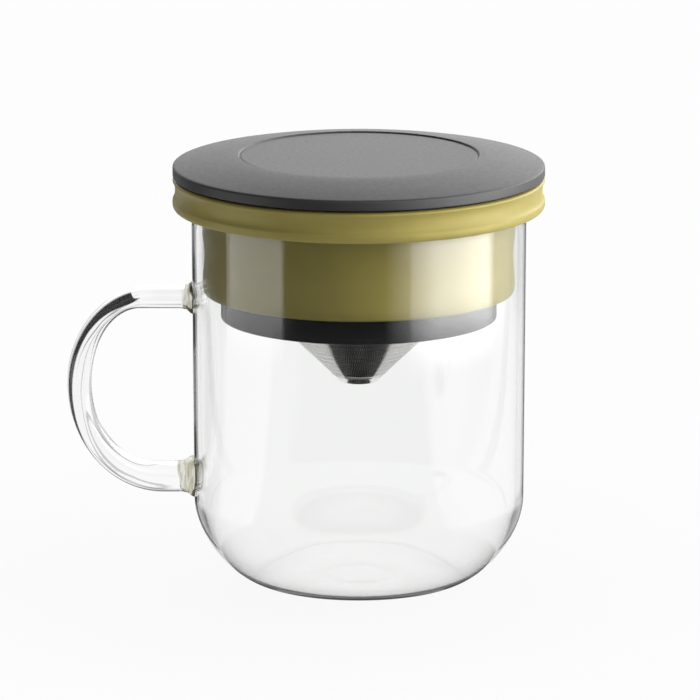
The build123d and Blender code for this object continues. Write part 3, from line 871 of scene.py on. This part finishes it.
def push_pads(mesh, settings, heights):
    """Bulges the inner wall inward behind the handle's pads."""
    radius, middle = reach("glass_body").radius, wall_middle(settings)
    for vertex in mesh.vertices:
        out = math.hypot(vertex.co.x, vertex.co.y)
        if out > middle or vertex.co.x > 0 or out < radius / 2:
            continue
        for height in heights:
            away = Vector((vertex.co.y, vertex.co.z - height)).length / settings.dent_spread
            push = 1 - settings.dent * math.exp(-away * away) / out
            vertex.co.x *= push
            vertex.co.y *= push


def handle_path(settings):
    """Pairs of outer and inner points of the strap, from the top pad to the lower one."""
    low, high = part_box("glass_handle")
    radius = reach("glass_body").radius
    root = -wall_middle(settings)
    waist, shift = settings.waist, settings.bow_shift

    def bow(top_start, bottom_start, outermost, top, bottom):
        upper = top_start + QUARTER * (outermost - top_start)
        lower = bottom_start + QUARTER * (outermost - bottom_start)
        made = [Vector((root, top))] + straight((root, top), (top_start, top))
        made += bezier([
            (top_start, top), (upper, top), (outermost, waist + QUARTER * (top - waist)),
            (outermost, waist),
        ])
        made += bezier([
            (outermost, waist), (outermost, waist - QUARTER * (waist - bottom)),
            (lower, bottom), (bottom_start, bottom),
        ])
        return made + straight((bottom_start, bottom), (root, bottom))

    top, bottom = high.z - settings.pad_flare, low.z + settings.pad_flare
    top_start, bottom_start = -radius - settings.top_straight, -radius - settings.bottom_straight
    outer = bow(top_start, bottom_start, low.x, top, bottom)
    inner = bow(top_start - shift, bottom_start - shift, low.x + settings.side,
                top - settings.top_leg, bottom + settings.bottom_leg)
    return list(zip(outer, inner))


def strap_row(settings, radius, outer, inner, along):
    """One row of the strap: its points, their places across it, and if it is in a pad."""
    middle, half = (outer + inner) / 2, (outer - inner) / 2
    sunk = settings.wall / 2
    flare = settings.pad_length if middle.y > settings.waist else settings.low_pad_length
    off = (-middle.x - radius + sunk) / (flare + sunk)
    near = 1 - min(1, max(off, 0))
    ridges = settings.pad_ridge * math.sin(PAD_RIDGES * math.pi * near) * min(1, 3 * near)
    grow = settings.pad_flare * near ** PAD_CURVE + ridges
    in_bow = math.exp(-(((along - BOW_PLACE) / BOW_SPREAD) ** 2))
    power = 2 / (settings.squareness - settings.bow_roundness * in_bow)
    points, shares = [], []
    for i in range(STRAP_SIDES):
        angle = 2 * math.pi * i / STRAP_SIDES
        across = math.copysign(abs(math.cos(angle)) ** power, math.cos(angle))
        outward = math.copysign(abs(math.sin(angle)) ** power, math.sin(angle))
        swell = grow * (1 + PAD_LUMP * near * math.sin(PAD_LUMPS * angle))
        place = middle + half.normalized() * outward * (half.length + swell)
        points.append((place.x, across * (settings.width / 2 + swell), place.y))
        shares.append(0.5 + 0.5 * outward)
    return points, shares, off < 1


def handle_mesh(settings):
    """The glass strap, swept along its path and flared where it fuses to the wall."""
    shape = bmesh.new()
    uv = shape.loops.layers.uv.new("UVMap")
    path, radius = handle_path(settings), reach("glass_body").radius
    rows = [strap_row(settings, radius, *pair, i / len(path)) for i, pair in enumerate(path)]
    sections, shares, in_pad = zip(*rows)
    rings = [[shape.verts.new(point) for point in section] for section in sections]
    for row, (low, high) in enumerate(zip(rings, rings[1:])):
        zone = PAD if in_pad[row] and in_pad[row + 1] else STRAP
        for i in range(STRAP_SIDES):
            j = (i + 1) % STRAP_SIDES
            face = shape.faces.new((low[i], low[j], high[j], high[i]))
            face.material_index = zone
            places = ((row, i), (row, j), (row + 1, j), (row + 1, i))
            for loop, (along, turn) in zip(face.loops, places):
                loop[uv].uv = (shares[along][turn], along / (len(rings) - 1))
    for end in (rings[0], rings[-1]):
        shape.faces.new(end).material_index = PAD
    return new_mesh("handle_sweep", shape, 60)


def normal_tree(mesh):
    """Nearest-point lookup of a mesh's own vertex normals."""
    lookup = kdtree.KDTree(len(mesh.vertices))
    for vertex in mesh.vertices:
        lookup.insert(vertex.co, vertex.index)
    lookup.balance()
    normals = [vertex.normal.copy() for vertex in mesh.vertices]
    return lambda point: normals[lookup.find(point)[1]]


def fuse(body, handle, settings):
    """Melts the handle into the tumbler and keeps each one's smooth normals."""
    _, base, top = reach("glass_body")
    of_body, of_handle = normal_tree(body), normal_tree(handle)
    holder, tool = in_scene("glass_mug_fusing", body), in_scene("handle_fusing", handle)
    modifier = holder.modifiers.new("fuse", "BOOLEAN")
    modifier.operation, modifier.solver, modifier.object = "UNION", "EXACT", tool
    mesh = run_modifier(holder, modifier)
    bpy.data.objects.remove(tool)
    bpy.data.meshes.remove(handle)
    if not mesh.polygons or max(face.material_index for face in mesh.polygons) < STRAP:
        raise RuntimeError("the handle did not fuse to the tumbler")
    wall_low, wall_high = base + settings.corner, top - 2 * settings.rim
    normals = [None] * len(mesh.loops)
    for face in mesh.polygons:
        for index in face.loop_indices:
            point = mesh.vertices[mesh.loops[index].vertex_index].co
            if face.material_index >= STRAP:
                normals[index] = of_handle(point)
            elif face.material_index == OUTSIDE and wall_low < point.z < wall_high:
                normals[index] = Vector((point.x, point.y, 0)).normalized()
            else:
                normals[index] = of_body(point)
    mesh.shade_smooth()
    mesh.normals_split_custom_set(normals)
    mesh.name = "glass_mug"
    return mesh


class MUG_OT_glass(bpy.types.Operator):
    """Blown glass tumbler with its fused handle"""

    bl_idname = "mug.glass"
    bl_label = "Glass Mug"

    def execute(self, context):
        settings = context.scene.mug_glass
        outer, turn = tumbler_outside(settings)
        inner = tumbler_inside(settings, turn)
        zones = [OUTSIDE] * len(outer) + [INSIDE] * len(inner)
        body = lathe("tumbler", outer + inner, zones)
        low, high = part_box("glass_handle")
        top_leg = high.z - settings.pad_flare - settings.top_leg / 2
        low_leg = low.z + settings.pad_flare + settings.bottom_leg / 2
        push_pads(body, settings, [top_leg, low_leg])
        mesh = fuse(body, handle_mesh(settings), settings)
        finishes = [
            clear_glass("clear_glass_outside", settings).material,
            clear_glass("clear_glass_inside", settings).material,
            # the handle's glass carries the painted reflections along its strap
            strap_glass_painted_reflections("clear_glass_handle_painted_reflections", settings).material,
            pad_glass("clear_glass_pads", settings).material,
        ]
        add_piece("glass_mug", mesh, finishes, "mug", "clear_glass", "glass_body", "glass_handle")
        return {"FINISHED"}


# --------------------------------------------------------------- collar pieces


def skirt_radius(scene):
    """Outer radius of the collar's skirt, just clear of the inside of the glass."""
    return reach("glass_body").radius - scene.mug_glass.wall - scene.mug_collar.gap


def collar_outline(settings):
    """Half section of the collar: waisted band, rim groove, skirt and mouth."""
    scene = bpy.context.scene
    glass_radius, _, glass_top = reach("glass_body")
    _, bottom, top = reach("collar")
    radius = reach("lid_cover").radius
    under = glass_top - settings.groove
    groove_outer = glass_radius + settings.gap
    skirt = skirt_radius(scene)
    mouth = skirt - settings.neck
    bore = mouth - settings.ledge
    ledge = reach("filter_housing").top - scene.mug_filter.flange
    guide = scene.mug_filter.radius + settings.slide
    hem_radius = skirt - settings.skirt_waist + settings.skirt_belly
    hem_top = bottom + settings.hem
    lip = settings.lip
    lip_z, belly_z = top - lip, under + settings.belly
    middle = (lip_z + belly_z) / 2

    outline = [Vector((radius - 2 * lip, top))]
    outline += bezier([(radius - 2 * lip, top), (radius, top), (radius, lip_z)], CORNER_STEPS)
    outline += through(
        [(radius, lip_z), (radius - settings.waist, middle), (radius, belly_z)],
        (-settings.waist, lip_z - top), (settings.waist, lip_z - top), CURVE_STEPS // 2,
    )
    outline += bezier([
        (radius, belly_z), (radius + settings.swell, belly_z - settings.belly / 2),
        (radius, under), (radius - lip, under),
    ], CURVE_STEPS // 2)
    outline += rounded([
        (groove_outer, under, FINE), (groove_outer, glass_top), (skirt, glass_top),
        (skirt, under, FINE),
    ])
    outline += through(
        [(skirt, under - FINE), (skirt - settings.skirt_waist, (under + bottom) / 2),
         (hem_radius, hem_top)],
        (0, -1), (0, -1),
    )
    outline += bezier([
        (hem_radius, hem_top), (hem_radius, bottom + settings.hem / 3),
        (hem_radius - settings.hem / 6, bottom), (hem_radius - settings.hem / 2, bottom),
    ], CURVE_STEPS // 2)
    outline += rounded([
        (guide, bottom, FINE), (guide, hem_top), (bore, hem_top + bore - guide),
        (bore, ledge, FINE), (mouth, ledge), (mouth, top, 2 * FINE),
    ])
    return outline


class MUG_OT_collar(bpy.types.Operator):
    """Olive silicone collar on the rim"""

    bl_idname = "mug.collar"
    bl_label = "Silicone Collar"

    def execute(self, context):
        settings = context.scene.mug_collar
        olive = silicone("olive_silicone_satin", settings.tint, settings.roughness)
        add_turned("silicone_collar", collar_outline(settings), olive, "collar", "olive_silicone",
                   "collar")
        return {"FINISHED"}


# --------------------------------------------------------------- filter pieces

# Shares of each cone's width at which one band of it ends and the next one starts.
SLOT_BANDS = (0, 0.145, 0.36, 0.66, 1)
WIRE_BANDS = (0, 0.22, 0.5, 0.98)


def housing_outline(settings):
    """Half section of the housing: tube, flange on top and the shelf for the cone."""
    flange, bottom, top = reach("filter_housing")
    shelf_z = reach("cone_hoop").low
    radius = settings.radius
    bore = radius - settings.wall
    shelf = bore - settings.shelf
    shelf_under = shelf_z - settings.shelf_thickness
    return rounded([
        (radius, bottom, SOFT), (radius, top - settings.flange),
        (flange, top - settings.flange, FINE), (flange, top, SOFT), (bore, top, SOFT),
        (bore, shelf_z), (shelf, shelf_z, FINE), (shelf, shelf_under, FINE),
        (bore, shelf_under - settings.shelf, SOFT), (bore, bottom, SOFT),
    ])


def snap_ring_outline(settings):
    """Half section of the ring that keeps the cone down, bevelled where hands reach it."""
    outer, low, high = reach("cone_clamp")
    inner = outer - settings.clamp_width
    half = settings.clamp_width / 2
    return rounded([
        (inner, low, FINE), (outer, low, FINE), (outer, high, FINE), (outer - half, high, SOFT),
        (inner, high - half, SOFT),
    ])


class MUG_OT_housing(bpy.types.Operator):
    """Dark filter housing with the snap ring that holds the cone in it"""

    bl_idname = "mug.housing"
    bl_label = "Filter Housing"

    def execute(self, context):
        settings = context.scene.mug_filter
        gloss = smoke_plastic(settings)
        add_turned("housing_tube", housing_outline(settings), gloss, "infuser", "smoke_plastic",
                   "filter_housing")
        add_turned("snap_ring", snap_ring_outline(settings), gloss, "infuser", "smoke_plastic",
                   "cone_clamp")
        return {"FINISHED"}


def hoop_outline(settings):
    """Half section of the steel hoop at the cones' upper edges."""
    outer, low, high = reach("cone_hoop")
    edge = 0.25 * MM
    return rounded([
        (settings.hoop_inner, low, edge), (outer, low, edge), (outer, high, edge),
        (settings.hoop_inner, high, edge),
    ])


def cap_outline(settings):
    """Half section of the cap: a shallow bowl with a bead round its rim."""
    radius, low, high = reach("cone_cap")
    pocket = radius - settings.cap_wall
    floor = radius - settings.cap_taper
    neck = radius - settings.cap_bead
    bead_z = high - settings.cap_bead
    edge = settings.cap_wall / 2.2
    return rounded([
        (0, low), (floor, low, 2 * SOFT), (neck, bead_z - 0.2 * MM, 2 * FINE),
        (neck, bead_z, edge), (radius, bead_z, edge), (radius, high, edge),
        (pocket, high, edge), (settings.tip, reach("outer_cone").low),
        (0, reach("outer_cone").low),
    ])


class MUG_OT_cone(bpy.types.Operator):
    """Perforated outer cone, woven inner cone, hoop and end cap"""

    bl_idname = "mug.cone"
    bl_label = "Cone Filter"

    def execute(self, context):
        settings = context.scene.mug_filter
        radius, low, high = reach("outer_cone")
        slope = (radius - settings.tip) / (high - low)
        sheet = steel("steel_sheet_brushed", settings.steel, 0.14, (1, 1, 0.12), 0.04)
        start = reach("cone_cap").radius - 3 * settings.sheet
        splits = [start + (radius - start) * part for part in SLOT_BANDS]
        values = {"Slot Pitch": settings.slot_pitch, "Row Pitch": settings.row_pitch,
                  "Slot Share": settings.slot_share, "Slot Stretch": settings.slot_stretch,
                  "Sheet": settings.sheet}
        mesh = cone_bands(perforated_band(sheet), "perforated_cone", splits,
                          settings.tip + settings.sheet, low, slope, values, 30)
        add_piece("perforated_cone", mesh, [sheet], "infuser", "steel_sheet", "outer_cone")

        wire = steel("steel_wire_woven", settings.wire_steel, 0.38, (1, 1, 1))
        lining, lining_low, _ = reach("mesh_cone")
        tip = lining - (radius - settings.tip)
        splits = [tip + (lining - tip) * part for part in WIRE_BANDS]
        values = {"Wire": settings.wire, "Wire Pitch": settings.wire_pitch}
        mesh = cone_bands(woven_band(wire), "woven_cone", splits, tip, lining_low, slope, values, 60)
        add_piece("woven_cone", mesh, [wire], "infuser", "steel_mesh", "mesh_cone")

        add_turned("steel_hoop", hoop_outline(settings), sheet, "infuser", "steel_sheet",
                   "cone_hoop")
        polish = steel("steel_cap_polished", settings.steel, 0.09, (1, 1, 1), 0.03)
        add_turned("end_cap", cap_outline(settings), polish, "infuser", "polished_steel",
                   "cone_cap")
        return {"FINISHED"}


# ------------------------------------------------------------------ lid pieces


def lid_outline(settings):
    """Half section of the cover: rounded edge, dome, recess and the pocket below."""
    radius, bottom, crown = reach("lid_cover")
    plug, _, plug_top = reach("lid_liner")
    edge = Vector((radius, bottom + settings.edge))
    shoulder = edge + Vector((-settings.shoulder, settings.shoulder_rise))
    corner = Vector((radius, shoulder.y - settings.slope * settings.shoulder))
    rim = Vector((settings.recess + settings.chamfer, crown))
    recess_z = crown - settings.recess_depth
    ceiling = recess_z - settings.wall
    halfway = Vector(((shoulder.x + rim.x) / 2, crown - settings.fall))
    fine = 0.2 * MM
    under = bottom + settings.relief
    seat = (radius - settings.relief_width, bottom)
    pocket = plug + settings.pocket
    outline = rounded([seat, (seat[0], under, fine), (radius, under, fine), edge])[1:]
    outline += bezier([edge, corner, shoulder], CORNER_STEPS)
    outline += through([shoulder, halfway, rim], (-1, settings.slope), (-1, 0.05))
    outline += rounded([
        (settings.recess, recess_z - settings.groove, settings.groove / 2),
        (settings.recess - settings.groove_width, recess_z, settings.groove / 2), (0, recess_z),
        (0, ceiling),
    ])
    inner = reach("lid_seal").radius
    outline += rounded([
        (inner - 4 * MM, ceiling, 0.5 * MM), (inner - 1.5 * MM, plug_top, fine),
        (pocket, plug_top, fine), (pocket, bottom, fine), seat,
    ])
    return outline


def plug_outlines(settings, plug):
    """Half sections of the plug, which is a cup with a flange, and of its seal."""
    flange, bottom, top = reach("lid_liner")
    seal, seal_low, seal_high = reach("lid_seal")
    seat = reach("collar").top
    bore = plug - settings.plug_wall
    groove = plug - settings.seal_depth
    cup = rounded([
        (0, bottom), (plug, bottom, SOFT), (plug, seal_low, FINE), (groove, seal_low),
        (groove, seal_high), (plug, seal_high, FINE), (plug, seat), (flange, seat, FINE),
        (flange, top, FINE), (bore, top, FINE), (bore, bottom + settings.plug_wall),
        (0, bottom + settings.plug_wall),
    ])
    ring = rounded([
        (groove, seal_low, FINE), (plug, seal_low, FINE), (seal, (seal_low + seal_high) / 2, FINE),
        (plug, seal_high, FINE), (groove, seal_high, FINE),
    ])
    return cup, ring


class MUG_OT_lid(bpy.types.Operator):
    """Domed cover with its plug and seal"""

    bl_idname = "mug.lid"
    bl_label = "Lid"

    def execute(self, context):
        settings = context.scene.mug_lid
        matte = moulded_plastic("charcoal_plastic_matte", settings.tint, settings.roughness)
        add_turned("domed_cover", lid_outline(settings), matte, "lid", "charcoal_plastic",
                   "lid_cover")
        mouth = skirt_radius(context.scene) - context.scene.mug_collar.neck
        cup, ring = plug_outlines(settings, mouth - settings.plug_gap)
        add_turned("lid_plug", cup, matte, "lid", "charcoal_plastic", "lid_liner")
        rubber = silicone("grey_silicone_satin", settings.seal, 0.42)
        add_turned("seal_ring", ring, rubber, "lid", "grey_silicone", "lid_seal")
        return {"FINISHED"}


# ----------------------------------------------------------------------- stage

# Studio panels by direction: (degrees round the mug, radiance); 0 is the front, 90 the right.
# Low round the mug: dark front, a panel each side, white behind in a dark frame.
LOW_PANELS = (
    (-180, 1.0), (-170, 1.0), (-168.5, 0.10), (-157, 0.10), (-155, 0.9), (-143, 0.9),
    (-140, 0.06), (-104, 0.06), (-103, 1.7), (-55, 1.8), (-54, 0.02), (18, 0.02), (36, 1.6),
    (37, 2.9), (57, 6.4), (84, 7.2), (98, 7.0), (104, 5.5), (107, 2.0), (120, 1.4), (135, 0.7),
    (150, 0.7), (160, 0.9), (162, 0.3), (174, 0.3), (176, 1.0), (180, 1.0),
)
# On the table near the mug: the same frame behind, and only a hint of the panels.
TABLE_PANELS = (
    (-180, 1.0), (-170, 1.0), (-168.5, 0.10), (-157, 0.10), (-155, 0.9), (-140, 0.9),
    (-130, 0.3), (-104, 0.3), (-103, 0.7), (-55, 0.7), (-54, 0.12), (36, 0.12), (37, 0.6),
    (60, 0.8), (130, 0.9), (162, 0.9), (163, 0.3), (174, 0.3), (175, 1.0), (180, 1.0),
)
# Higher up: bright behind, a dim left, and the right panel spread wide.
HIGH_PANELS = (
    (-180, 2.1), (-160, 1.4), (-140, 0.3), (-112, 0.08), (-104, 0.15), (-55, 0.15),
    (-40, 0.05), (-10, 0.6), (15, 2.0), (37, 3.2), (60, 4.2), (104, 5.4), (130, 4.5),
    (160, 3.1), (180, 2.1),
)
LAMP_AIM = 70 * MM         # height that the softboxes face


def panels(put, x, y, stops, peak):
    """Brightness by direction round the mug; 0 degrees is the front, 90 the right."""
    turn = maths(put, "ARCTAN2", x, maths(put, "MULTIPLY", y, -1.0))
    place = maths(put, "MULTIPLY_ADD", turn, 0.5 / math.pi, 0.5)
    return ramp(put, place, [(a / 360 + 0.5, grey / peak) for a, grey in stops])


def choose(put, *steps):
    """Mixes shaders in turn: each step is (share, shader) over what came before."""
    shader = steps[0]
    for share_of, top in steps[1:]:
        shader = put("ShaderNodeMixShader", {0: share_of, 1: shader, 2: top}).outputs[0]
    return shader


def above(put, value, limit=0.5):
    """1 where a value is over a limit."""
    return maths(put, "GREATER_THAN", value, limit)


def front_wall_only(put, crossed):
    """1 for light that has crossed nothing but the front wall of the glass."""
    return maths(put, "MULTIPLY", above(put, crossed, 1.5), maths(put, "LESS_THAN", crossed, 3.0))


def replace_tone(put, tone, peak, *steps):
    """Lays plain radiances over a tone in turn: each step is (share, radiance)."""
    for share_of, radiance in steps:
        tone = blend(put, share_of, tone, (radiance / peak,) * 3 + (1,))
    return tone


def deep_in_glass(put, path, settings):
    """Steps for light from the back of the glass, and for light guided along inside it."""
    return (
        (above(put, path["Transmission Depth"], 5.5), settings.far_side),
        (above(put, path["Glossy Depth"], 1.5), settings.guided),
    )


def mirrored_world(put, path, way, by_rise, settings):
    """What mirrors see round the mug: panels low down, others higher up, a dim ceiling."""
    peak = settings.peak
    level = panels(put, way["X"], way["Y"], LOW_PANELS, peak)
    sky = panels(put, way["X"], way["Y"], HIGH_PANELS, peak)
    table = by_rise((-1, 0.03 / peak), (-0.93, 0.03 / peak), (-0.90, 0.9 / peak), (1, 0.9 / peak))
    around = blend(put, by_rise((-1, 0), (-0.47, 0), (-0.40, 1), (1, 1)), table, level)
    around = blend(put, by_rise((-1, 0), (0.0, 0), (0.10, 1), (1, 1)), around, sky)
    dimming = by_rise((-1, 1), (0.50, 1), (0.80, 0.25), (0.9, 0.1), (1, 0.08))
    around = blend(put, 1.0, around, dimming, "MULTIPLY")
    crossed = path["Transmission Depth"]
    rising = by_rise((-1, 0), (-0.19, 0), (-0.02, 1), (1, 1))
    falling = by_rise((-1, 1), (-0.50, 1), (-0.40, 0), (1, 0))
    return replace_tone(
        put, around, peak,
        (maths(put, "MULTIPLY", above(put, crossed), rising), settings.calm),
        # painted shade: steep directions below the mug turn dark for light that crossed only the
        # front wall
        (maths(put, "MULTIPLY", front_wall_only(put, crossed), falling), settings.contact_shade_radiance),
        *deep_in_glass(put, path, settings),
    )


def build_world(settings):
    """White to the eye and through glass, a panelled studio to mirrors, even to the rest."""
    world = bpy.data.worlds.new("studio")
    world.use_nodes = True
    world.cycles.sampling_method = "NONE"
    world.node_tree.nodes.clear()
    put = node_writer(world.node_tree)
    path = put("ShaderNodeLightPath").outputs
    direction = put("ShaderNodeTexCoord").outputs["Generated"]
    way = put("ShaderNodeSeparateXYZ", {0: direction}).outputs
    place = maths(put, "MULTIPLY_ADD", way["Z"], 0.5, 0.5)

    def by_rise(*stops):
        """A grey ramp over the sine of the height above the horizon."""
        return ramp(put, place, [((z + 1) / 2, grey) for z, grey in stops])

    def light(tone, strength):
        return put("ShaderNodeBackground", {"Color": tone, "Strength": strength}).outputs[0]

    around = mirrored_world(put, path, way, by_rise, settings)
    behind = by_rise((-1, 1), (0.22, 1), (0.34, 0.1), (1, 0.1))
    mirrored = maths(put, "MULTIPLY", path["Is Glossy Ray"], above(put, path["Glossy Depth"]))
    even = light(WHITE, settings.ambient)
    inside = choose(put, even, (path["Is Transmission Ray"], light(WHITE, settings.through)))
    shader = choose(
        put, even,
        (path["Is Transmission Ray"], light(behind, settings.white)),
        (mirrored, light(around, settings.peak)),
        (above(put, path["Diffuse Depth"]), inside),
        (path["Is Camera Ray"], light(WHITE, settings.white)),
    )
    put("ShaderNodeOutputWorld", {"Surface": shader})
    bpy.context.scene.world = world


def mirrored_table(put, path, place, away, settings):
    """What mirrors see of the table near the mug, down to the painted shadow under its foot."""
    radius, peak = reach("glass_body").radius, settings.peak
    split = put("ShaderNodeSeparateXYZ", {0: place}).outputs
    middle = put("ShaderNodeClamp", {"Value": split["X"], "Min": -radius, "Max": radius})
    beside = maths(put, "SUBTRACT", split["X"], middle.outputs[0])
    around = panels(put, beside, split["Y"], TABLE_PANELS, peak)
    # painted shadow: a dark disc on the table under the mug's foot, seen only in mirrors
    foot = 0.70 * radius
    patch = put("ShaderNodeVectorMath", {0: place, 1: (0, 0.25 * radius, 0)}, operation="DISTANCE")
    under = ramp(put, patch.outputs["Value"],
                 [(0.0, 1.0), (foot, 1.0), (foot + 0.5 * MM, 0.0), (1.0, 0.0)])
    crossed = path["Transmission Depth"]
    close = ramp(put, away, [(0.0, 0.9), (0.034, 0.9), (0.042, 1.0), (0.085, 1.0), (0.11, 0.0),
                             (1.0, 0.0)])
    tone = replace_tone(
        put, around, peak,
        # lays the painted shadow under the foot for light that has crossed more than three glass
        # surfaces
        (maths(put, "MULTIPLY", under, above(put, crossed, 3.5)), 0.02),
        # painted contact shadow: the table near the mug turns dark for light that crossed only the
        # front wall
        (maths(put, "MULTIPLY", front_wall_only(put, crossed), close), settings.contact_shade_radiance),
        *deep_in_glass(put, path, settings),
    )
    return put("ShaderNodeEmission", {"Color": tone, "Strength": peak}).outputs[0]


def floor_material(settings):
    """Pale floor: white to the eye with the mug's faint shadow, lit plainly."""
    material = bpy.data.materials.new("pale_floor")
    material.use_nodes = True
    material.cycles.emission_sampling = "NONE"
    material.node_tree.nodes.clear()
    put = node_writer(material.node_tree)
    path = put("ShaderNodeLightPath").outputs
    place = put("ShaderNodeTexCoord").outputs["Object"]
    away = put("ShaderNodeVectorMath", {0: place}, operation="LENGTH").outputs["Value"]
    shadow = settings.shadow
    shadow_share = ramp(put, away, [(0.0, shadow), (0.08, shadow), (0.20, 0.0), (1.0, 0.0)])
    lit = put("ShaderNodeBsdfDiffuse", {"Color": (0.8, 0.8, 0.8, 1)}).outputs[0]
    white = put("ShaderNodeEmission", {"Color": WHITE, "Strength": settings.white}).outputs[0]
    clear = put("ShaderNodeBsdfTransparent").outputs[0]
    table = mirrored_table(put, path, place, away, settings)
    far = ramp(put, away, [(0.0, 0.0), (0.31, 0.0), (0.39, 1.0), (1.0, 1.0)])
    shader = choose(
        put, lit,
        (path["Is Transmission Ray"], clear),
        (above(put, path["Glossy Depth"]), choose(put, table, (far, clear))),
        (above(put, path["Diffuse Depth"]), lit),
        (path["Is Camera Ray"], choose(put, white, (shadow_share, lit))),
    )
    put("ShaderNodeOutputMaterial", {"Surface": shader})
    return material


def add_to_scene(name, data):
    """A new object of the scene."""
    made = bpy.data.objects.new(name, data)
    bpy.context.scene.collection.objects.link(made)
    return made


def aim_at(made, height, out, distance):
    """Places a lamp or camera out from a point on the axis, facing that point."""
    made.location = Vector((0, 0, height)) + out * distance
    made.rotation_mode = "QUATERNION"
    made.rotation_quaternion = out.to_track_quat("Z", "Y")


def softbox(name, azimuth, elevation, distance, size, radiance):
    """A square lamp that faces the mug; azimuth is to the right of the camera."""
    data = bpy.data.lights.new(name, "AREA")
    data.shape = "SQUARE"
    data.size = size
    data.energy = radiance * math.pi * size * size
    lamp = add_to_scene(name, data)
    turn, rise = math.radians(azimuth), math.radians(elevation)
    out = Vector((math.sin(turn) * math.cos(rise), -math.cos(turn) * math.cos(rise), math.sin(rise)))
    aim_at(lamp, LAMP_AIM, out, distance)
    lamp.visible_camera = False
    lamp.visible_glossy = False
    lamp.visible_transmission = False


def add_floor(settings):
    """A plain square floor, just under the mug."""
    shape = bmesh.new()
    bmesh.ops.create_grid(shape, x_segments=1, y_segments=1, size=4)
    bmesh.ops.translate(shape, verts=shape.verts, vec=(0, 0, -0.02 * MM))
    mesh = bpy.data.meshes.new("floor")
    shape.to_mesh(mesh)
    shape.free()
    mesh.materials.append(floor_material(settings))
    floor = add_to_scene("floor", mesh)


def add_camera(settings):
    """A long lens a little above the mug, straight in front of it."""
    data = bpy.data.cameras.new("camera")
    data.sensor_width = 36
    data.lens = settings.lens_pixels / PIXELS * data.sensor_width
    data.shift_x = (PIXELS / 2 - settings.aim_x) / PIXELS
    data.shift_y = (settings.aim_y - PIXELS / 2) / PIXELS
    camera = add_to_scene("camera", data)
    rise = math.radians(settings.elevation)
    back = Vector((0, -math.cos(rise), math.sin(rise)))
    aim_at(camera, settings.target, back, settings.distance)
    bpy.context.scene.camera = camera


class MUG_OT_studio(bpy.types.Operator):
    """Pale floor, white surround, softboxes and the camera"""

    bl_idname = "mug.studio"
    bl_label = "Studio"

    def execute(self, context):
        settings = context.scene.mug_studio
        build_world(settings)
        add_floor(settings)
        softbox("key_softbox", azimuth=80, elevation=14, distance=1.2, size=0.9,
                radiance=settings.key)
        softbox("top_softbox", azimuth=150, elevation=75, distance=1.4, size=1.0,
                radiance=settings.top)
        add_camera(settings)
        context.scene.view_settings.view_transform = "Standard"
        return {"FINISHED"}


class MUG_PT_panel(bpy.types.Panel):
    """Lists the mug's pieces"""

    bl_idname = "MUG_PT_panel"
    bl_label = "Drip Mug"
    bl_space_type = "VIEW_3D"
    bl_region_type = "UI"
    bl_category = "Drip Mug"

    def draw(self, context):
        for operator in OPERATORS:
            self.layout.operator(operator.bl_idname)


GROUPS = {
    "mug_glass": GlassSettings,
    "mug_collar": CollarSettings,
    "mug_filter": FilterSettings,
    "mug_lid": LidSettings,
    "mug_studio": StudioSettings,
}
OPERATORS = (MUG_OT_glass, MUG_OT_collar, MUG_OT_housing, MUG_OT_cone, MUG_OT_lid, MUG_OT_studio)


def register():
    for name, group in GROUPS.items():
        bpy.utils.register_class(group)
        setattr(bpy.types.Scene, name, bpy.props.PointerProperty(type=group))
    for item in (*OPERATORS, MUG_PT_panel):
        bpy.utils.register_class(item)


def unregister():
    for item in (MUG_PT_panel, *reversed(OPERATORS)):
        bpy.utils.unregister_class(item)
    for name, group in reversed(GROUPS.items()):
        delattr(bpy.types.Scene, name)
        bpy.utils.unregister_class(group)


def main():
    register()
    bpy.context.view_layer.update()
    bpy.ops.mug.studio()
    bpy.ops.mug.glass()
    bpy.ops.mug.collar()
    bpy.ops.mug.housing()
    bpy.ops.mug.cone()
    bpy.ops.mug.lid()
    bpy.context.view_layer.update()


if __name__ == "__main__":
    main()
